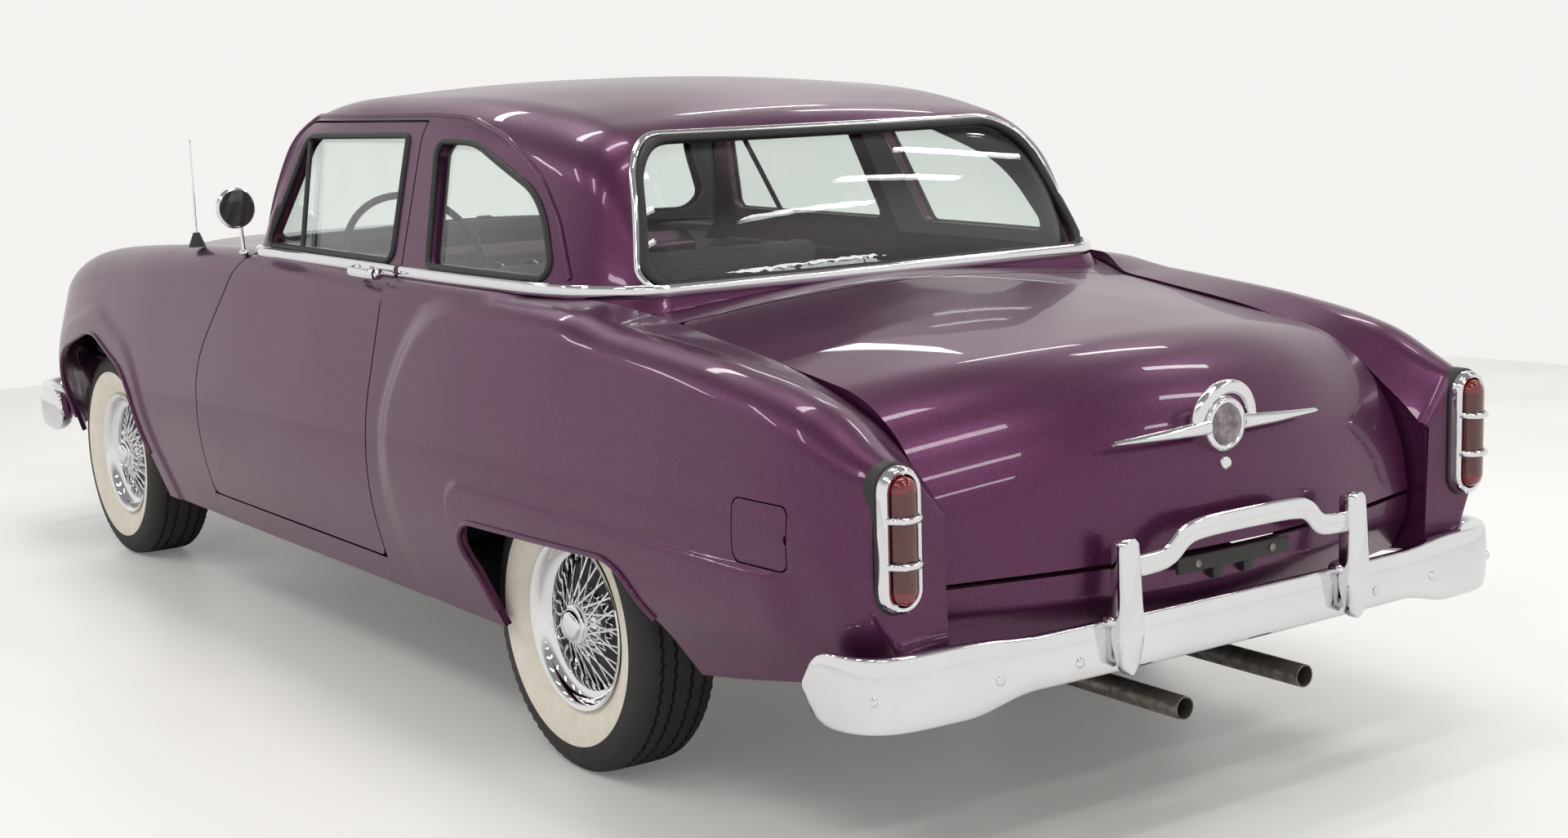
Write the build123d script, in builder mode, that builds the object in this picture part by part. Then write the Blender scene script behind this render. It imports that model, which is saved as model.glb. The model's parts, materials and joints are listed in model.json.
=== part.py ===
"""Two-door club sedan of the early 1950s with wire wheels, built panel by panel.

Frame: +X forward, +Y left, +Z up, millimetres. The origin is on the ground, at the middle of the length and width.
"""
import os
from collections import namedtuple
from math import cos, radians, sin

from build123d import *

# Driving dimensions of the whole car
LENGTH = 5340.0
FRONT_OVERHANG = 900.0
WHEELBASE = 3099.0
FRONT_TRACK = 1524.0
REAR_TRACK = 1542.0
BODY_WIDTH = 1978.0
BELT_Z = 1112.0
FRONT_END_X = LENGTH / 2
REAR_END_X = -LENGTH / 2
FRONT_AXLE_X = FRONT_END_X - FRONT_OVERHANG
REAR_AXLE_X = FRONT_AXLE_X - WHEELBASE

# Walls, gaps and clearances
FENDER_WALL = 18.0
DOOR_WALL = 80.0
ROOF_WALL = 34.0
LID_WALL = 24.0
GLASS_WALL = 6.0
PANEL_GAP = 6.0
SEAT_CLEARANCE = 0.3
RUNNING_CLEARANCE = 0.08

# Wheels and tyres
TYRE_R = 352.0
TYRE_WIDTH = 214.0
BEAD_R = 196.0
RIM_WIDTH = 156.0
RIM_WALL = 7.0
HUB_R = 62.0
HUB_LENGTH = 150.0
SPINDLE_R = 19.0
SPOKE_COUNT = 16
SPOKE_R = 4.2
DRUM_R = 150.0
DRUM_WIDTH = 58.0

# Door, lid and bonnet outlines
DOOR_FRONT_X = 705.0
DOOR_REAR_X = -480.0
DOOR_BOTTOM_Z = 383.0
DOOR_TOP_Z = 1502.0
PILLAR_FOOT_X = 440.0
DECK_FRONT_X = -1380.0
LID_FRONT_X = -1573.0
LID_BOTTOM_Z = 628.0
TAIL_X = -2530.0
TAIL_WALL = 22.0
BONNET_REAR_X = 800.0
STEER_KINGPIN_Y = 690.0

# Hinges: pin sizes and places
HINGE_R = 3.5
HINGE_HOLE_R = HINGE_R + RUNNING_CLEARANCE
DOOR_HINGE_Y = 970.0
DOOR_HINGE_Z = (610.0, 670.0)
LID_HINGE_Z = 1109.0
BONNET_HINGE_Z = 1148.0
LID_HINGE_SPANS = ((60.0, 110.0), (-110.0, -60.0))
FUEL_HINGE_Y = 965.0
FUEL_HINGE_Z = (712.0, 752.0)
FUEL_DOOR_FRONT_X = -2177.0

os.makedirs("parts", exist_ok=True)


def write(builder, name):
    """Labels a finished piece and writes it as its own file."""
    builder.part.label = name
    export_step(builder.part, f"parts/{name}.step")


def across(x):
    """Section plane across the car at x, with sketch coordinates (y, z)."""
    return Plane(origin=(x, 0, 0), x_dir=(0, 1, 0), z_dir=(1, 0, 0))


def along(y):
    """Section plane along the car at y, with sketch coordinates (x, z)."""
    return Plane(origin=(0, y, 0), x_dir=(1, 0, 0), z_dir=(0, -1, 0))


def smooth_row(rows, at):
    """Row of a station table at any first column value, by cubic interpolation of every column."""
    rows = sorted(rows)
    at = min(max(at, rows[0][0]), rows[-1][0])
    last = len(rows) - 1
    i = max(k for k in range(last) if rows[k][0] <= at)
    h = rows[i + 1][0] - rows[i][0]
    t = (at - rows[i][0]) / h

    def slope(k, c):
        lo, hi = max(k - 1, 0), min(k + 1, last)
        return (rows[hi][c] - rows[lo][c]) / (rows[hi][0] - rows[lo][0])

    values = [
        (2 * t**3 - 3 * t**2 + 1) * rows[i][c]
        + (t**3 - 2 * t**2 + t) * h * slope(i, c)
        + (3 * t**2 - 2 * t**3) * rows[i + 1][c]
        + (t**3 - t**2) * h * slope(i + 1, c)
        for c in range(1, len(rows[0]))
    ]
    return type(rows[0])(at, *values)


def inset_path(points, wall):
    """An open path moved sideways by a wall, to the left of its direction, with mitred corners."""
    path = [Vector(*p) for p in points]
    normals = [Vector(-(b - a).Y, (b - a).X).normalized() for a, b in zip(path, path[1:])]
    moved = [path[0] + normals[0] * wall]
    for here, before, after in zip(path[1:-1], normals, normals[1:]):
        moved.append(here + (before + after) * (wall / (1 + before.dot(after))))
    moved.append(path[-1] + normals[-1] * wall)
    return [(p.X, p.Y) for p in moved]


def wall_outline(points, fillets, wall):
    """Closed outline of a wall that follows a path: its points and their radii. The wall lies to the path's left."""
    inner = inset_path(points, wall)
    inner_fillets = [max(r - wall, wall / 3) if r else 0 for r in fillets]
    return points + inner[::-1], fillets + inner_fillets[::-1]


def outline_face(points, fillets):
    """Draws a closed outline with rounded corners into the sketch that is being made."""
    with BuildLine() as outline:
        FilletPolyline(*points, radius=fillets, close=True)
    make_face(outline.edges())


def box_between(x, y, z):
    """Box given by its ranges on the three axes."""
    with Locations(((x[0] + x[1]) / 2, (y[0] + y[1]) / 2, (z[0] + z[1]) / 2)):
        Box(x[1] - x[0], y[1] - y[0], z[1] - z[0])


def upright_pin(x, y, z, radius, mode=Mode.ADD):
    """Upright hinge pin between two heights, or its hole when the mode is subtract."""
    with Locations((x, y, (z[0] + z[1]) / 2)):
        Cylinder(radius, z[1] - z[0], mode=mode)


def cross_pin(x, y, z, radius, mode=Mode.ADD):
    """Hinge pin across the car between two widths, or its hole when the mode is subtract."""
    with Locations((x, (y[0] + y[1]) / 2, z)):
        Cylinder(radius, y[1] - y[0], rotation=(90, 0, 0), mode=mode)


# Side of the body at stations along the car: sill, widest line, crest and inner top edge of the left side
Side = namedtuple("Side", "x sill_y sill_z wide_y wide_z crest_y crest_z top_y top_z wide_r crest_r")
SIDE = [
    Side(2470, 640, 560, 745, 660, 700, 815, 520, 800, 90, 60),
    Side(2380, 735, 470, 838, 640, 765, 900, 575, 880, 170, 90),
    Side(2200, 840, 400, 920, 640, 830, 985, 620, 950, 330, 110),
    Side(1900, 895, 350, 968, 640, 868, 1056, 640, 1020, 600, 120),
    Side(1400, 912, 312, 988, 640, 884, 1098, 645, 1072, 850, 120),
    Side(700, 912, 305, 990, 640, 886, 1122, 650, 1112, 850, 100),
    Side(-484, 905, 305, 990, 640, 886, 1118, 650, 1112, 850, 100),
    Side(-1150, 905, 305, 990, 640, 886, 1110, 650, 1106, 850, 100),
]
# Rear fender: the same columns, with its inner top edge along the roof's foot and the luggage lid
QUARTER = [
    Side(-500, 908, 312, 1002, 640, 912, 1092, 826, 1108, 800, 90),
    Side(-900, 908, 308, 1012, 650, 918, 1088, 822, 1106, 800, 100),
    Side(-1400, 908, 312, 1012, 660, 914, 1082, 770, 1106, 800, 110),
    Side(-1540, 905, 322, 1012, 664, 909, 1076, 706, 1076, 760, 110),
    Side(-1573, 904, 325, 1012, 665, 908, 1074, 694, 1068, 750, 110),
    Side(-1700, 900, 338, 1011, 669, 905, 1069, 695, 1052, 712, 110),
    Side(-2032, 884, 380, 1006, 680, 896, 1052, 696, 1006, 600, 110),
    Side(-2304, 864, 425, 985, 690, 884, 1032, 698, 928, 420, 105),
    Side(-2450, 840, 450, 952, 690, 868, 975, 700, 836, 220, 80),
    Side(TAIL_X, 800, 474, 908, 690, 850, 945, 704, 770, 120, 50),
]
QUARTER_STATIONS = [-500, -640, -780, -920, -1060, -1200, -1340, -1470, -1570, -1660, -1760, -1880, -2030, -2170, -2300,
                    -2400, -2470, TAIL_X]


def side_path(station):
    """Outer path of one side section from the inner top edge down to the sill, and its corner radii."""
    s = station
    points = [(s.top_y, s.top_z), (s.crest_y, s.crest_z), (s.wide_y, s.wide_z), (s.sill_y, s.sill_z)]
    return points, [0, s.crest_r, s.wide_r, 0]


def side_shell(table, stations, wall, ruled=False):
    """Wall of the left side lofted through sections of a station table, straight between them when ruled."""
    with BuildPart() as shell:
        for x in stations:
            points, fillets = side_path(smooth_row(table, x))
            with BuildSketch(across(x)):
                outline_face(*wall_outline(points[::-1], fillets[::-1], wall))
        loft(ruled=ruled)
    return shell.part


def side_block(table, stations, wall, squared):
    """Filled end of a fender, half a wall inside its skin; squared keeps the inner low corner of its sections."""
    with BuildPart() as block:
        for x in stations:
            station = smooth_row(table, x)
            points, fillets = side_path(station)
            points = inset_path(points[::-1], wall / 2)
            fillets = [max(r - wall / 2, 0) for r in fillets[::-1]]
            if squared:
                points.append((station.top_y, station.sill_z))
                fillets.append(0)
            with BuildSketch(across(x)):
                outline_face(points, fillets)
        loft()
    return block.part


def prism(points, fillets, y_from, y_to):
    """Prism of a side-view outline (x, z) between two widths."""
    with BuildPart() as cutter:
        with BuildSketch(along(y_to)):
            outline_face(points, fillets)
        extrude(amount=y_to - y_from)
    return cutter.part


def grown(points, gap):
    """A convex outline with every side moved out by a gap, keeping its corners."""
    loop = list(points) + [points[0], points[1]]
    area = sum(a[0] * b[1] - b[0] * a[1] for a, b in zip(loop, loop[1:-1]))
    moved = inset_path(loop, -gap if area > 0 else gap)[1:-1]
    return moved[-1:] + moved[:-1]


# Outlines in side view, all with rounded corners
DOOR_OUTLINE = [
    (DOOR_FRONT_X, DOOR_BOTTOM_Z),
    (DOOR_FRONT_X, 800),
    (PILLAR_FOOT_X + 40, BELT_Z + 10),
    (348, DOOR_TOP_Z - 10),
    (DOOR_REAR_X + 62, DOOR_TOP_Z),
    (DOOR_REAR_X, BELT_Z + 10),
    (DOOR_REAR_X, DOOR_BOTTOM_Z),
]
DOOR_CORNERS = [40, 330, 60, 65, 12, 30, 25]
FRONT_ARCH = [(1070, 200), (1330, 690), (1690, 800), (2090, 690), (2165, 200)]
FRONT_ARCH_CORNERS = [0, 230, 330, 200, 0]
REAR_ARCH = [(-1145, 200), (-975, 575), (-1760, 600), (-2060, 200)]
REAR_ARCH_CORNERS = [0, 90, 150, 0]
PONTOON_OUTLINE = [(-700, 200), (-545, 700), (-600, 1070), (-760, 1180), (-2700, 1180), (-2700, 200)]
PONTOON_CORNERS = [0, 330, 190, 80, 0, 0]
SILL_FRONT_X = DOOR_FRONT_X + PANEL_GAP
SILL_REAR_X = DOOR_REAR_X - PANEL_GAP
SILL_OUTLINE = [(SILL_REAR_X, 200), (SILL_REAR_X, DOOR_BOTTOM_Z), (SILL_FRONT_X, DOOR_BOTTOM_Z), (SILL_FRONT_X, 200)]
OUTBOARD_Y = 1200.0
INBOARD_Y = 400.0
DOOR_INNER_Y = 800.0

door_cut = prism(grown(DOOR_OUTLINE, PANEL_GAP), DOOR_CORNERS, INBOARD_Y, OUTBOARD_Y)
door_body = prism(DOOR_OUTLINE, DOOR_CORNERS, INBOARD_Y, OUTBOARD_Y)
lower_door_body = prism(DOOR_OUTLINE, DOOR_CORNERS, DOOR_INNER_Y, OUTBOARD_Y)
front_arch = prism(FRONT_ARCH, FRONT_ARCH_CORNERS, INBOARD_Y, OUTBOARD_Y)
rear_arch = prism(REAR_ARCH, REAR_ARCH_CORNERS, INBOARD_Y, OUTBOARD_Y)

# Greenhouse sections across the car: half width at the belt, roof corner and crown
Arch = namedtuple("Arch", "x foot_y corner_y corner_z crown_z corner_r")
ARCH_FOOT_Z = 1040.0
ARCHES = [
    Arch(690, 480, 300, 1084, 1096, 20),
    Arch(590, 735, 590, 1240, 1262, 60),
    Arch(470, 858, 712, 1428, 1478, 110),
    Arch(300, 862, 706, 1530, 1578, 150),
    Arch(-200, 864, 700, 1556, 1612, 170),
    Arch(-700, 864, 700, 1546, 1604, 190),
    Arch(-1080, 850, 690, 1496, 1556, 200),
    Arch(-1260, 828, 672, 1424, 1490, 170),
    Arch(-1380, 790, 640, 1250, 1306, 110),
    Arch(-1480, 744, 640, 1080, 1098, 30),
]


def greenhouse(inset):
    """Closed form of the roof and its pillars, taken in by an inset."""
    with BuildPart() as form:
        for a in ARCHES:
            foot, corner = a.foot_y - inset, a.corner_y - inset * 0.8
            drop = inset if a.crown_z - ARCH_FOOT_Z > 2 * inset else 0.5 * (a.crown_z - ARCH_FOOT_Z)
            corner_z, crown_z = a.corner_z - drop, a.crown_z - drop
            half = [(foot, ARCH_FOOT_Z), (corner, corner_z)]
            points = half + [(0, crown_z)] + [(-y, z) for y, z in half[::-1]]
            with BuildSketch(across(a.x)):
                outline_face(points, [0, a.corner_r, 0.6 * corner**2 / (crown_z - corner_z), a.corner_r, 0])
        loft()
    return form.part


# Window outlines: side windows in side view, screens in front view
DOOR_WINDOW = [(392, 1150), (290, 1452), (-348, 1464), (-415, 1150)]
DOOR_WINDOW_CORNERS = [25, 60, 25, 25]
QUARTER_WINDOW = [(-628, 1150), (-530, 1452), (-720, 1452), (-1085, 1330), (-1200, 1150)]
QUARTER_WINDOW_CORNERS = [25, 30, 400, 280, 30]
SCREEN = [(770, 1140), (660, 1460), (-660, 1460), (-770, 1140)]
SCREEN_CORNERS = [60, 90, 90, 60]
BACKLIGHT = [(674, 1136), (586, 1458), (-586, 1458), (-674, 1136)]
BACKLIGHT_CORNERS = [45, 140, 140, 45]
SCREEN_FROM_X = 330.0
BACKLIGHT_FROM_X = -1180.0


def front_view_prism(points, fillets, x_from, x_to):
    """Prism of a front-view outline (y, z) between two stations."""
    with BuildPart() as cutter:
        with BuildSketch(across(x_from)):
            outline_face(points, fillets)
        extrude(amount=x_to - x_from)
    return cutter.part


def mirrored(part):
    """The same piece on the right side."""
    with BuildPart() as other:
        mirror(part, about=Plane.XZ, mode=Mode.ADD)
    return other.part


def write_pair(part, name):
    """Writes a left piece and its mirror image."""
    for solid, side in ((part, "left"), (mirrored(part), "right")):
        with BuildPart() as piece:
            add(solid)
        write(piece, f"{name}_{side}")


outer_house = greenhouse(0)
inner_house = greenhouse(ROOF_WALL)
screen_cut = front_view_prism(SCREEN, SCREEN_CORNERS, SCREEN_FROM_X, 900)
backlight_cut = front_view_prism(BACKLIGHT, BACKLIGHT_CORNERS, -1700, BACKLIGHT_FROM_X)
door_window_cut = prism(DOOR_WINDOW, DOOR_WINDOW_CORNERS, 400, OUTBOARD_Y)
quarter_window_cut = prism(QUARTER_WINDOW, QUARTER_WINDOW_CORNERS, 400, OUTBOARD_Y)

# Roof with its pillars, standing on the belt
with BuildPart() as roof_shell:
    add(outer_house)
    add(inner_house, mode=Mode.SUBTRACT)

with BuildPart() as roof:
    add(roof_shell.part)
    split(bisect_by=Plane.XY.offset(BELT_Z + SEAT_CLEARANCE), keep=Keep.TOP)
    add(screen_cut, mode=Mode.SUBTRACT)
    add(backlight_cut, mode=Mode.SUBTRACT)
    for cut in (door_cut, quarter_window_cut):
        add(cut, mode=Mode.SUBTRACT)
        add(mirrored(cut), mode=Mode.SUBTRACT)
write(roof, "roof")

# Glass is a thin skin set in the middle of the roof's wall
GLASS_INSET = (ROOF_WALL - GLASS_WALL) / 2
with BuildPart() as glass_shell:
    add(greenhouse(GLASS_INSET))
    add(greenhouse(GLASS_INSET + GLASS_WALL), mode=Mode.SUBTRACT)


def pane(cutter):
    """The glass inside one window opening."""
    with BuildPart() as glass:
        add(glass_shell.part)
        add(cutter, mode=Mode.INTERSECT)
    return glass


write(pane(screen_cut), "windscreen")
write(pane(backlight_cut), "rear_window")
quarter_glass = pane(quarter_window_cut)
write_pair(quarter_glass.part, "quarter_window")
write_pair(pane(door_window_cut).part, "door_window")

# Door: a full-depth lower box and the window frame above the belt
with BuildPart() as door:
    add(side_shell(SIDE, [DOOR_REAR_X - 4, 100, DOOR_FRONT_X + 30], DOOR_WALL))
    add(lower_door_body, mode=Mode.INTERSECT)
    split(bisect_by=Plane.XY.offset(BELT_Z), keep=Keep.BOTTOM)
with BuildPart() as door_frame:
    add(roof_shell.part)
    add(door_body, mode=Mode.INTERSECT)
    add(door_window_cut, mode=Mode.SUBTRACT)
with BuildPart() as whole_door:
    add(door.part)
    add(door_frame.part)
    upright_pin(DOOR_FRONT_X, DOOR_HINGE_Y, DOOR_HINGE_Z, HINGE_HOLE_R, Mode.SUBTRACT)
write_pair(whole_door.part, "door")

# Front fender with its closed nose and open wheel arch
with BuildPart() as front_fender:
    add(side_shell(SIDE, [PILLAR_FOOT_X, 700, 1400, 1900, 2200, 2380, 2470], FENDER_WALL))
    add(side_block(SIDE, [2448, 2470], FENDER_WALL, False))
    add(door_cut, mode=Mode.SUBTRACT)
    add(front_arch, mode=Mode.SUBTRACT)
    add(prism(SILL_OUTLINE, [0, 0, 0, 0], INBOARD_Y, OUTBOARD_Y), mode=Mode.SUBTRACT)
    add(outer_house, mode=Mode.SUBTRACT)
    upright_pin(DOOR_FRONT_X, DOOR_HINGE_Y, DOOR_HINGE_Z, HINGE_R)
    box_between((DOOR_FRONT_X + 1, DOOR_FRONT_X + 24), (DOOR_HINGE_Y - 16, DOOR_HINGE_Y), DOOR_HINGE_Z)
write_pair(front_fender.part, "front_fender")

# Sill below the door, between the two fenders
with BuildPart() as rocker:
    add(side_shell(SIDE, [SILL_REAR_X + SEAT_CLEARANCE, 100, SILL_FRONT_X - SEAT_CLEARANCE], FENDER_WALL * 3))
    split(bisect_by=Plane.XY.offset(DOOR_BOTTOM_Z - PANEL_GAP), keep=Keep.BOTTOM)
with BuildPart() as rocker_panels:
    add(rocker.part)
    add(mirrored(rocker.part))
write(rocker_panels, "rocker_panels")

# Rear quarter: the flat post behind the door and the bulged fender over the rear wheel
FUEL_DOOR = [(FUEL_DOOR_FRONT_X, 670), (FUEL_DOOR_FRONT_X, 796), (-2344, 796), (-2344, 670)]
FUEL_DOOR_CORNERS = [22, 22, 22, 22]
pontoon_body = prism(PONTOON_OUTLINE, PONTOON_CORNERS, INBOARD_Y, OUTBOARD_Y)
with BuildPart() as pontoon:
    add(side_shell(QUARTER, QUARTER_STATIONS, TAIL_WALL, True))
    add(side_block(QUARTER, [TAIL_X + TAIL_WALL, TAIL_X], TAIL_WALL, True))
    add(pontoon_body, mode=Mode.INTERSECT)
POST = [row._replace(sill_y=row.sill_y - 6, wide_y=row.wide_y - 6, crest_y=row.crest_y - 6) for row in SIDE]
with BuildPart() as post:
    add(side_shell(POST, [-760, DOOR_REAR_X - PANEL_GAP], FENDER_WALL))
    add(prism([(-760, 300), (-760, 1200), (0, 1200), (0, 300)], [0, 0, 0, 0], 822, OUTBOARD_Y), mode=Mode.INTERSECT)
with BuildPart() as quarter:
    add(pontoon.part)
    add(post.part)
    split(bisect_by=Plane.XY.offset(BELT_Z), keep=Keep.BOTTOM)
    add(rear_arch, mode=Mode.SUBTRACT)
with BuildPart() as quarter_left:
    add(quarter.part)
    add(prism(grown(FUEL_DOOR, PANEL_GAP / 2), FUEL_DOOR_CORNERS, 870, OUTBOARD_Y), mode=Mode.SUBTRACT)
    upright_pin(FUEL_DOOR_FRONT_X, FUEL_HINGE_Y, FUEL_HINGE_Z, HINGE_R)
    box_between((FUEL_DOOR_FRONT_X + 1, FUEL_DOOR_FRONT_X + 20), (FUEL_HINGE_Y - 18, FUEL_HINGE_Y), FUEL_HINGE_Z)
write(quarter_left, "quarter_panel_left")
with BuildPart() as quarter_right:
    mirror(quarter.part, about=Plane.XZ)
write(quarter_right, "quarter_panel_right")

# Lids and decks: profiles along the car, crowned from the middle to the edges
Lid = namedtuple("Lid", "y front_z knee_x knee_z low_x low_z knee_r")
DECK = [
    Lid(0, 1126, -2582, 1015, -2598, LID_BOTTOM_Z, 340),
    Lid(340, 1114, -2550, 1000, -2572, LID_BOTTOM_Z, 350),
    Lid(700, 1088, -2440, 950, -2490, LID_BOTTOM_Z, 360),
]
BONNET_LOW_Z = 780.0
BONNET = [
    Lid(0, 1150, 2490, 1010, 2530, BONNET_LOW_Z, 200),
    Lid(340, 1140, 2470, 990, 2510, BONNET_LOW_Z, 190),
    Lid(660, 1112, 2380, 900, 2420, BONNET_LOW_Z, 100),
]


def lid_shell(table, front_x, inward):
    """Wall of a crowned lid lofted from right to left through its profiles."""
    rows = [row._replace(y=-row.y) for row in table[:0:-1]] + table
    with BuildPart() as shell:
        for row in rows:
            path = [(front_x, row.front_z), (row.knee_x, row.knee_z), (row.low_x, row.low_z)]
            with BuildSketch(along(row.y)):
                outline_face(*wall_outline(path[::inward], [0, row.knee_r, 0], LID_WALL))
        loft()
    return shell.part


def plan_prism(points, fillets):
    """Prism of a plan-view outline (x, y), as tall as the car."""
    with BuildPart() as cutter:
        with BuildSketch(Plane.XY):
            outline_face(points, fillets)
        extrude(amount=2000)
    return cutter.part


def both_sides(points):
    """Plan outline symmetric about the car's middle, from its left half."""
    return points + [(x, -y) for x, y in points[::-1]]


LID_PLAN = both_sides([(LID_FRONT_X, 682), (-2500, 688), (-2800, 688)])
LID_PLAN_CORNERS = [30, 0, 0, 0, 0, 30]
with BuildPart() as trunk_lid:
    add(lid_shell(DECK, DECK_FRONT_X, 1))
    add(plan_prism(LID_PLAN, LID_PLAN_CORNERS), mode=Mode.INTERSECT)
    for span in LID_HINGE_SPANS:
        cross_pin(LID_FRONT_X, span, LID_HINGE_Z, HINGE_HOLE_R, Mode.SUBTRACT)
write(trunk_lid, "trunk_lid")

DECK_PLAN = both_sides([(DECK_FRONT_X, 764), (LID_FRONT_X + PANEL_GAP, 688)])
with BuildPart() as rear_deck:
    add(lid_shell(DECK, DECK_FRONT_X, 1))
    add(plan_prism(DECK_PLAN, [0] * 4), mode=Mode.INTERSECT)
    add(outer_house, mode=Mode.SUBTRACT)
    for span in LID_HINGE_SPANS:
        cross_pin(LID_FRONT_X, span, LID_HINGE_Z, HINGE_R)
        box_between((LID_FRONT_X + 1, LID_FRONT_X + 20), span, (LID_HINGE_Z - 20, LID_HINGE_Z))
write(rear_deck, "rear_deck")

BONNET_PLAN = both_sides([(BONNET_REAR_X, 642), (1900, 632), (2200, 610), (2380, 562), (2600, 430)])
with BuildPart() as bonnet:
    add(lid_shell(BONNET, BONNET_REAR_X - 40, -1))
    add(plan_prism(BONNET_PLAN, [0] * 10), mode=Mode.INTERSECT)
    for span in LID_HINGE_SPANS:
        cross_pin(BONNET_REAR_X, span, BONNET_HINGE_Z, HINGE_HOLE_R, Mode.SUBTRACT)
write(bonnet, "bonnet")

# Ladder frame with a kick-up over the rear axle
RAIL_Y = 330.0
RAIL_WIDTH = 90.0
RAIL_END_Z = 400.0
RAIL_TOP_Z = 300.0
RAIL_DEPTH = 90.0
RAIL_PATH = [
    (-2450, 460), (-1750, 560), (-1120, 560), (-980, RAIL_TOP_Z), (1180, RAIL_TOP_Z), (1420, 380), (2480, RAIL_END_Z),
]
RAIL_BENDS = [0, 150, 150, 30, 150, 150, 0]
CROSS_DEPTH = 22.0
CROSS_BARS = [(2380, 345), (880, 275.3), (0, 264), (-1750, 500), (-2400, 400)]
with BuildPart() as chassis_frame:
    for y in (RAIL_Y, -RAIL_Y - RAIL_WIDTH):
        with BuildSketch(along(y + RAIL_WIDTH)):
            outline_face(*wall_outline(RAIL_PATH[::-1], RAIL_BENDS, RAIL_DEPTH))
        extrude(amount=RAIL_WIDTH)
    for x, z in CROSS_BARS:
        box_between((x - 45, x + 45), (-RAIL_Y - 20, RAIL_Y + 20), (z, z + CROSS_DEPTH))
write(chassis_frame, "chassis_frame")

# Nose panel between the front fenders, with an opening for the grille
NOSE_HALF_Y = 600.0
NOSE_X = 2500.0
NOSE_BOW = 75.0
NOSE_LOW_Z = 470.0


def nose_face(set_back, wall, z_from, z_to, half_y):
    """Curved upright panel across the nose."""
    outer = NOSE_X - set_back
    with BuildPart() as face:
        with BuildSketch(Plane.XY.offset(z_from)):
            with BuildLine() as edge:
                front = ThreePointArc((outer - NOSE_BOW, -half_y), (outer, 0), (outer - NOSE_BOW, half_y))
                back = ThreePointArc(
                    (outer - NOSE_BOW - wall, -half_y), (outer - wall, 0), (outer - NOSE_BOW - wall, half_y)
                )
                Line(front @ 0, back @ 0)
                Line(front @ 1, back @ 1)
            make_face(edge.edges())
        extrude(amount=z_to - z_from)
    return face.part


GRILLE_HALF_Y = 470.0
GRILLE_LOW_Z = 530.0
GRILLE_HIGH_Z = 690.0
GRILLE_BARS = 3
BAR_HEIGHT = 26.0
with BuildPart() as nose_panel:
    add(nose_face(0, LID_WALL, NOSE_LOW_Z, BONNET_LOW_Z - PANEL_GAP, NOSE_HALF_Y))
    add(nose_face(-60, 200, GRILLE_LOW_Z, GRILLE_HIGH_Z, GRILLE_HALF_Y), mode=Mode.SUBTRACT)
    for side in (1, -1):
        foot = sorted((side * (RAIL_Y + RAIL_WIDTH - 36), side * (RAIL_Y + RAIL_WIDTH - 6)))
        box_between((2444, 2466), foot, (RAIL_END_Z - 8, NOSE_LOW_Z + 10))
    add(chassis_frame.part, mode=Mode.SUBTRACT)
write(nose_panel, "nose_panel")

with BuildPart() as grille:
    for row in range(GRILLE_BARS):
        z = GRILLE_LOW_Z + (row + 0.5) * (GRILLE_HIGH_Z - GRILLE_LOW_Z) / GRILLE_BARS
        half = GRILLE_HALF_Y - SEAT_CLEARANCE
        add(nose_face(-8, 30, z - BAR_HEIGHT / 2, z + BAR_HEIGHT / 2, half))
    for y in (-300, 0, 300):
        with Locations((NOSE_X - 28, y, (GRILLE_LOW_Z + GRILLE_HIGH_Z) / 2)):
            Box(30, 16, GRILLE_HIGH_Z - GRILLE_LOW_Z - 2 * SEAT_CLEARANCE)
write(grille, "grille")

# Cowl: the panel under the windscreen and the firewall below it
FIREWALL_X = 770.0
FLOOR_WALL = 16.0
FLOOR_Z = RAIL_TOP_Z + SEAT_CLEARANCE + FLOOR_WALL
COWL_FOOT_Z = FLOOR_Z + SEAT_CLEARANCE
with BuildPart() as cowl:
    with BuildSketch(along(640)):
        outline_face(
            [(330, 1086), (330, 1104), (BONNET_REAR_X - PANEL_GAP, 1122), (BONNET_REAR_X - PANEL_GAP, COWL_FOOT_Z),
             (FIREWALL_X, COWL_FOOT_Z), (FIREWALL_X, 1096)],
            [0, 0, 12, 0, 0, 0],
        )
    extrude(amount=1280)
    add(outer_house, mode=Mode.SUBTRACT)
    for span in LID_HINGE_SPANS:
        cross_pin(BONNET_REAR_X, span, BONNET_HINGE_Z, HINGE_R)
        box_between((BONNET_REAR_X - 14, BONNET_REAR_X - 1), span, (1100, BONNET_HINGE_Z))
write(cowl, "cowl")

# Tail panel under the luggage lid
with BuildPart() as tail_panel:
    rows = [row._replace(y=-row.y) for row in DECK[:0:-1]] + DECK
    for row in rows:
        path = [(row.low_x, LID_BOTTOM_Z - 2 * PANEL_GAP), (row.low_x + 6, 560), (row.low_x + 45, 484)]
        with BuildSketch(along(row.y * 0.988)):
            outline_face(*wall_outline(path, [0, 60, 0], FENDER_WALL))
    loft()
    for side in (1, -1):
        bracket = sorted((side * (RAIL_Y + 20), side * (RAIL_Y + RAIL_WIDTH - 25)))
        box_between((-2516, -2400), bracket, (450, 515))
    add(chassis_frame.part, mode=Mode.SUBTRACT)
write(tail_panel, "tail_panel")


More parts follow.
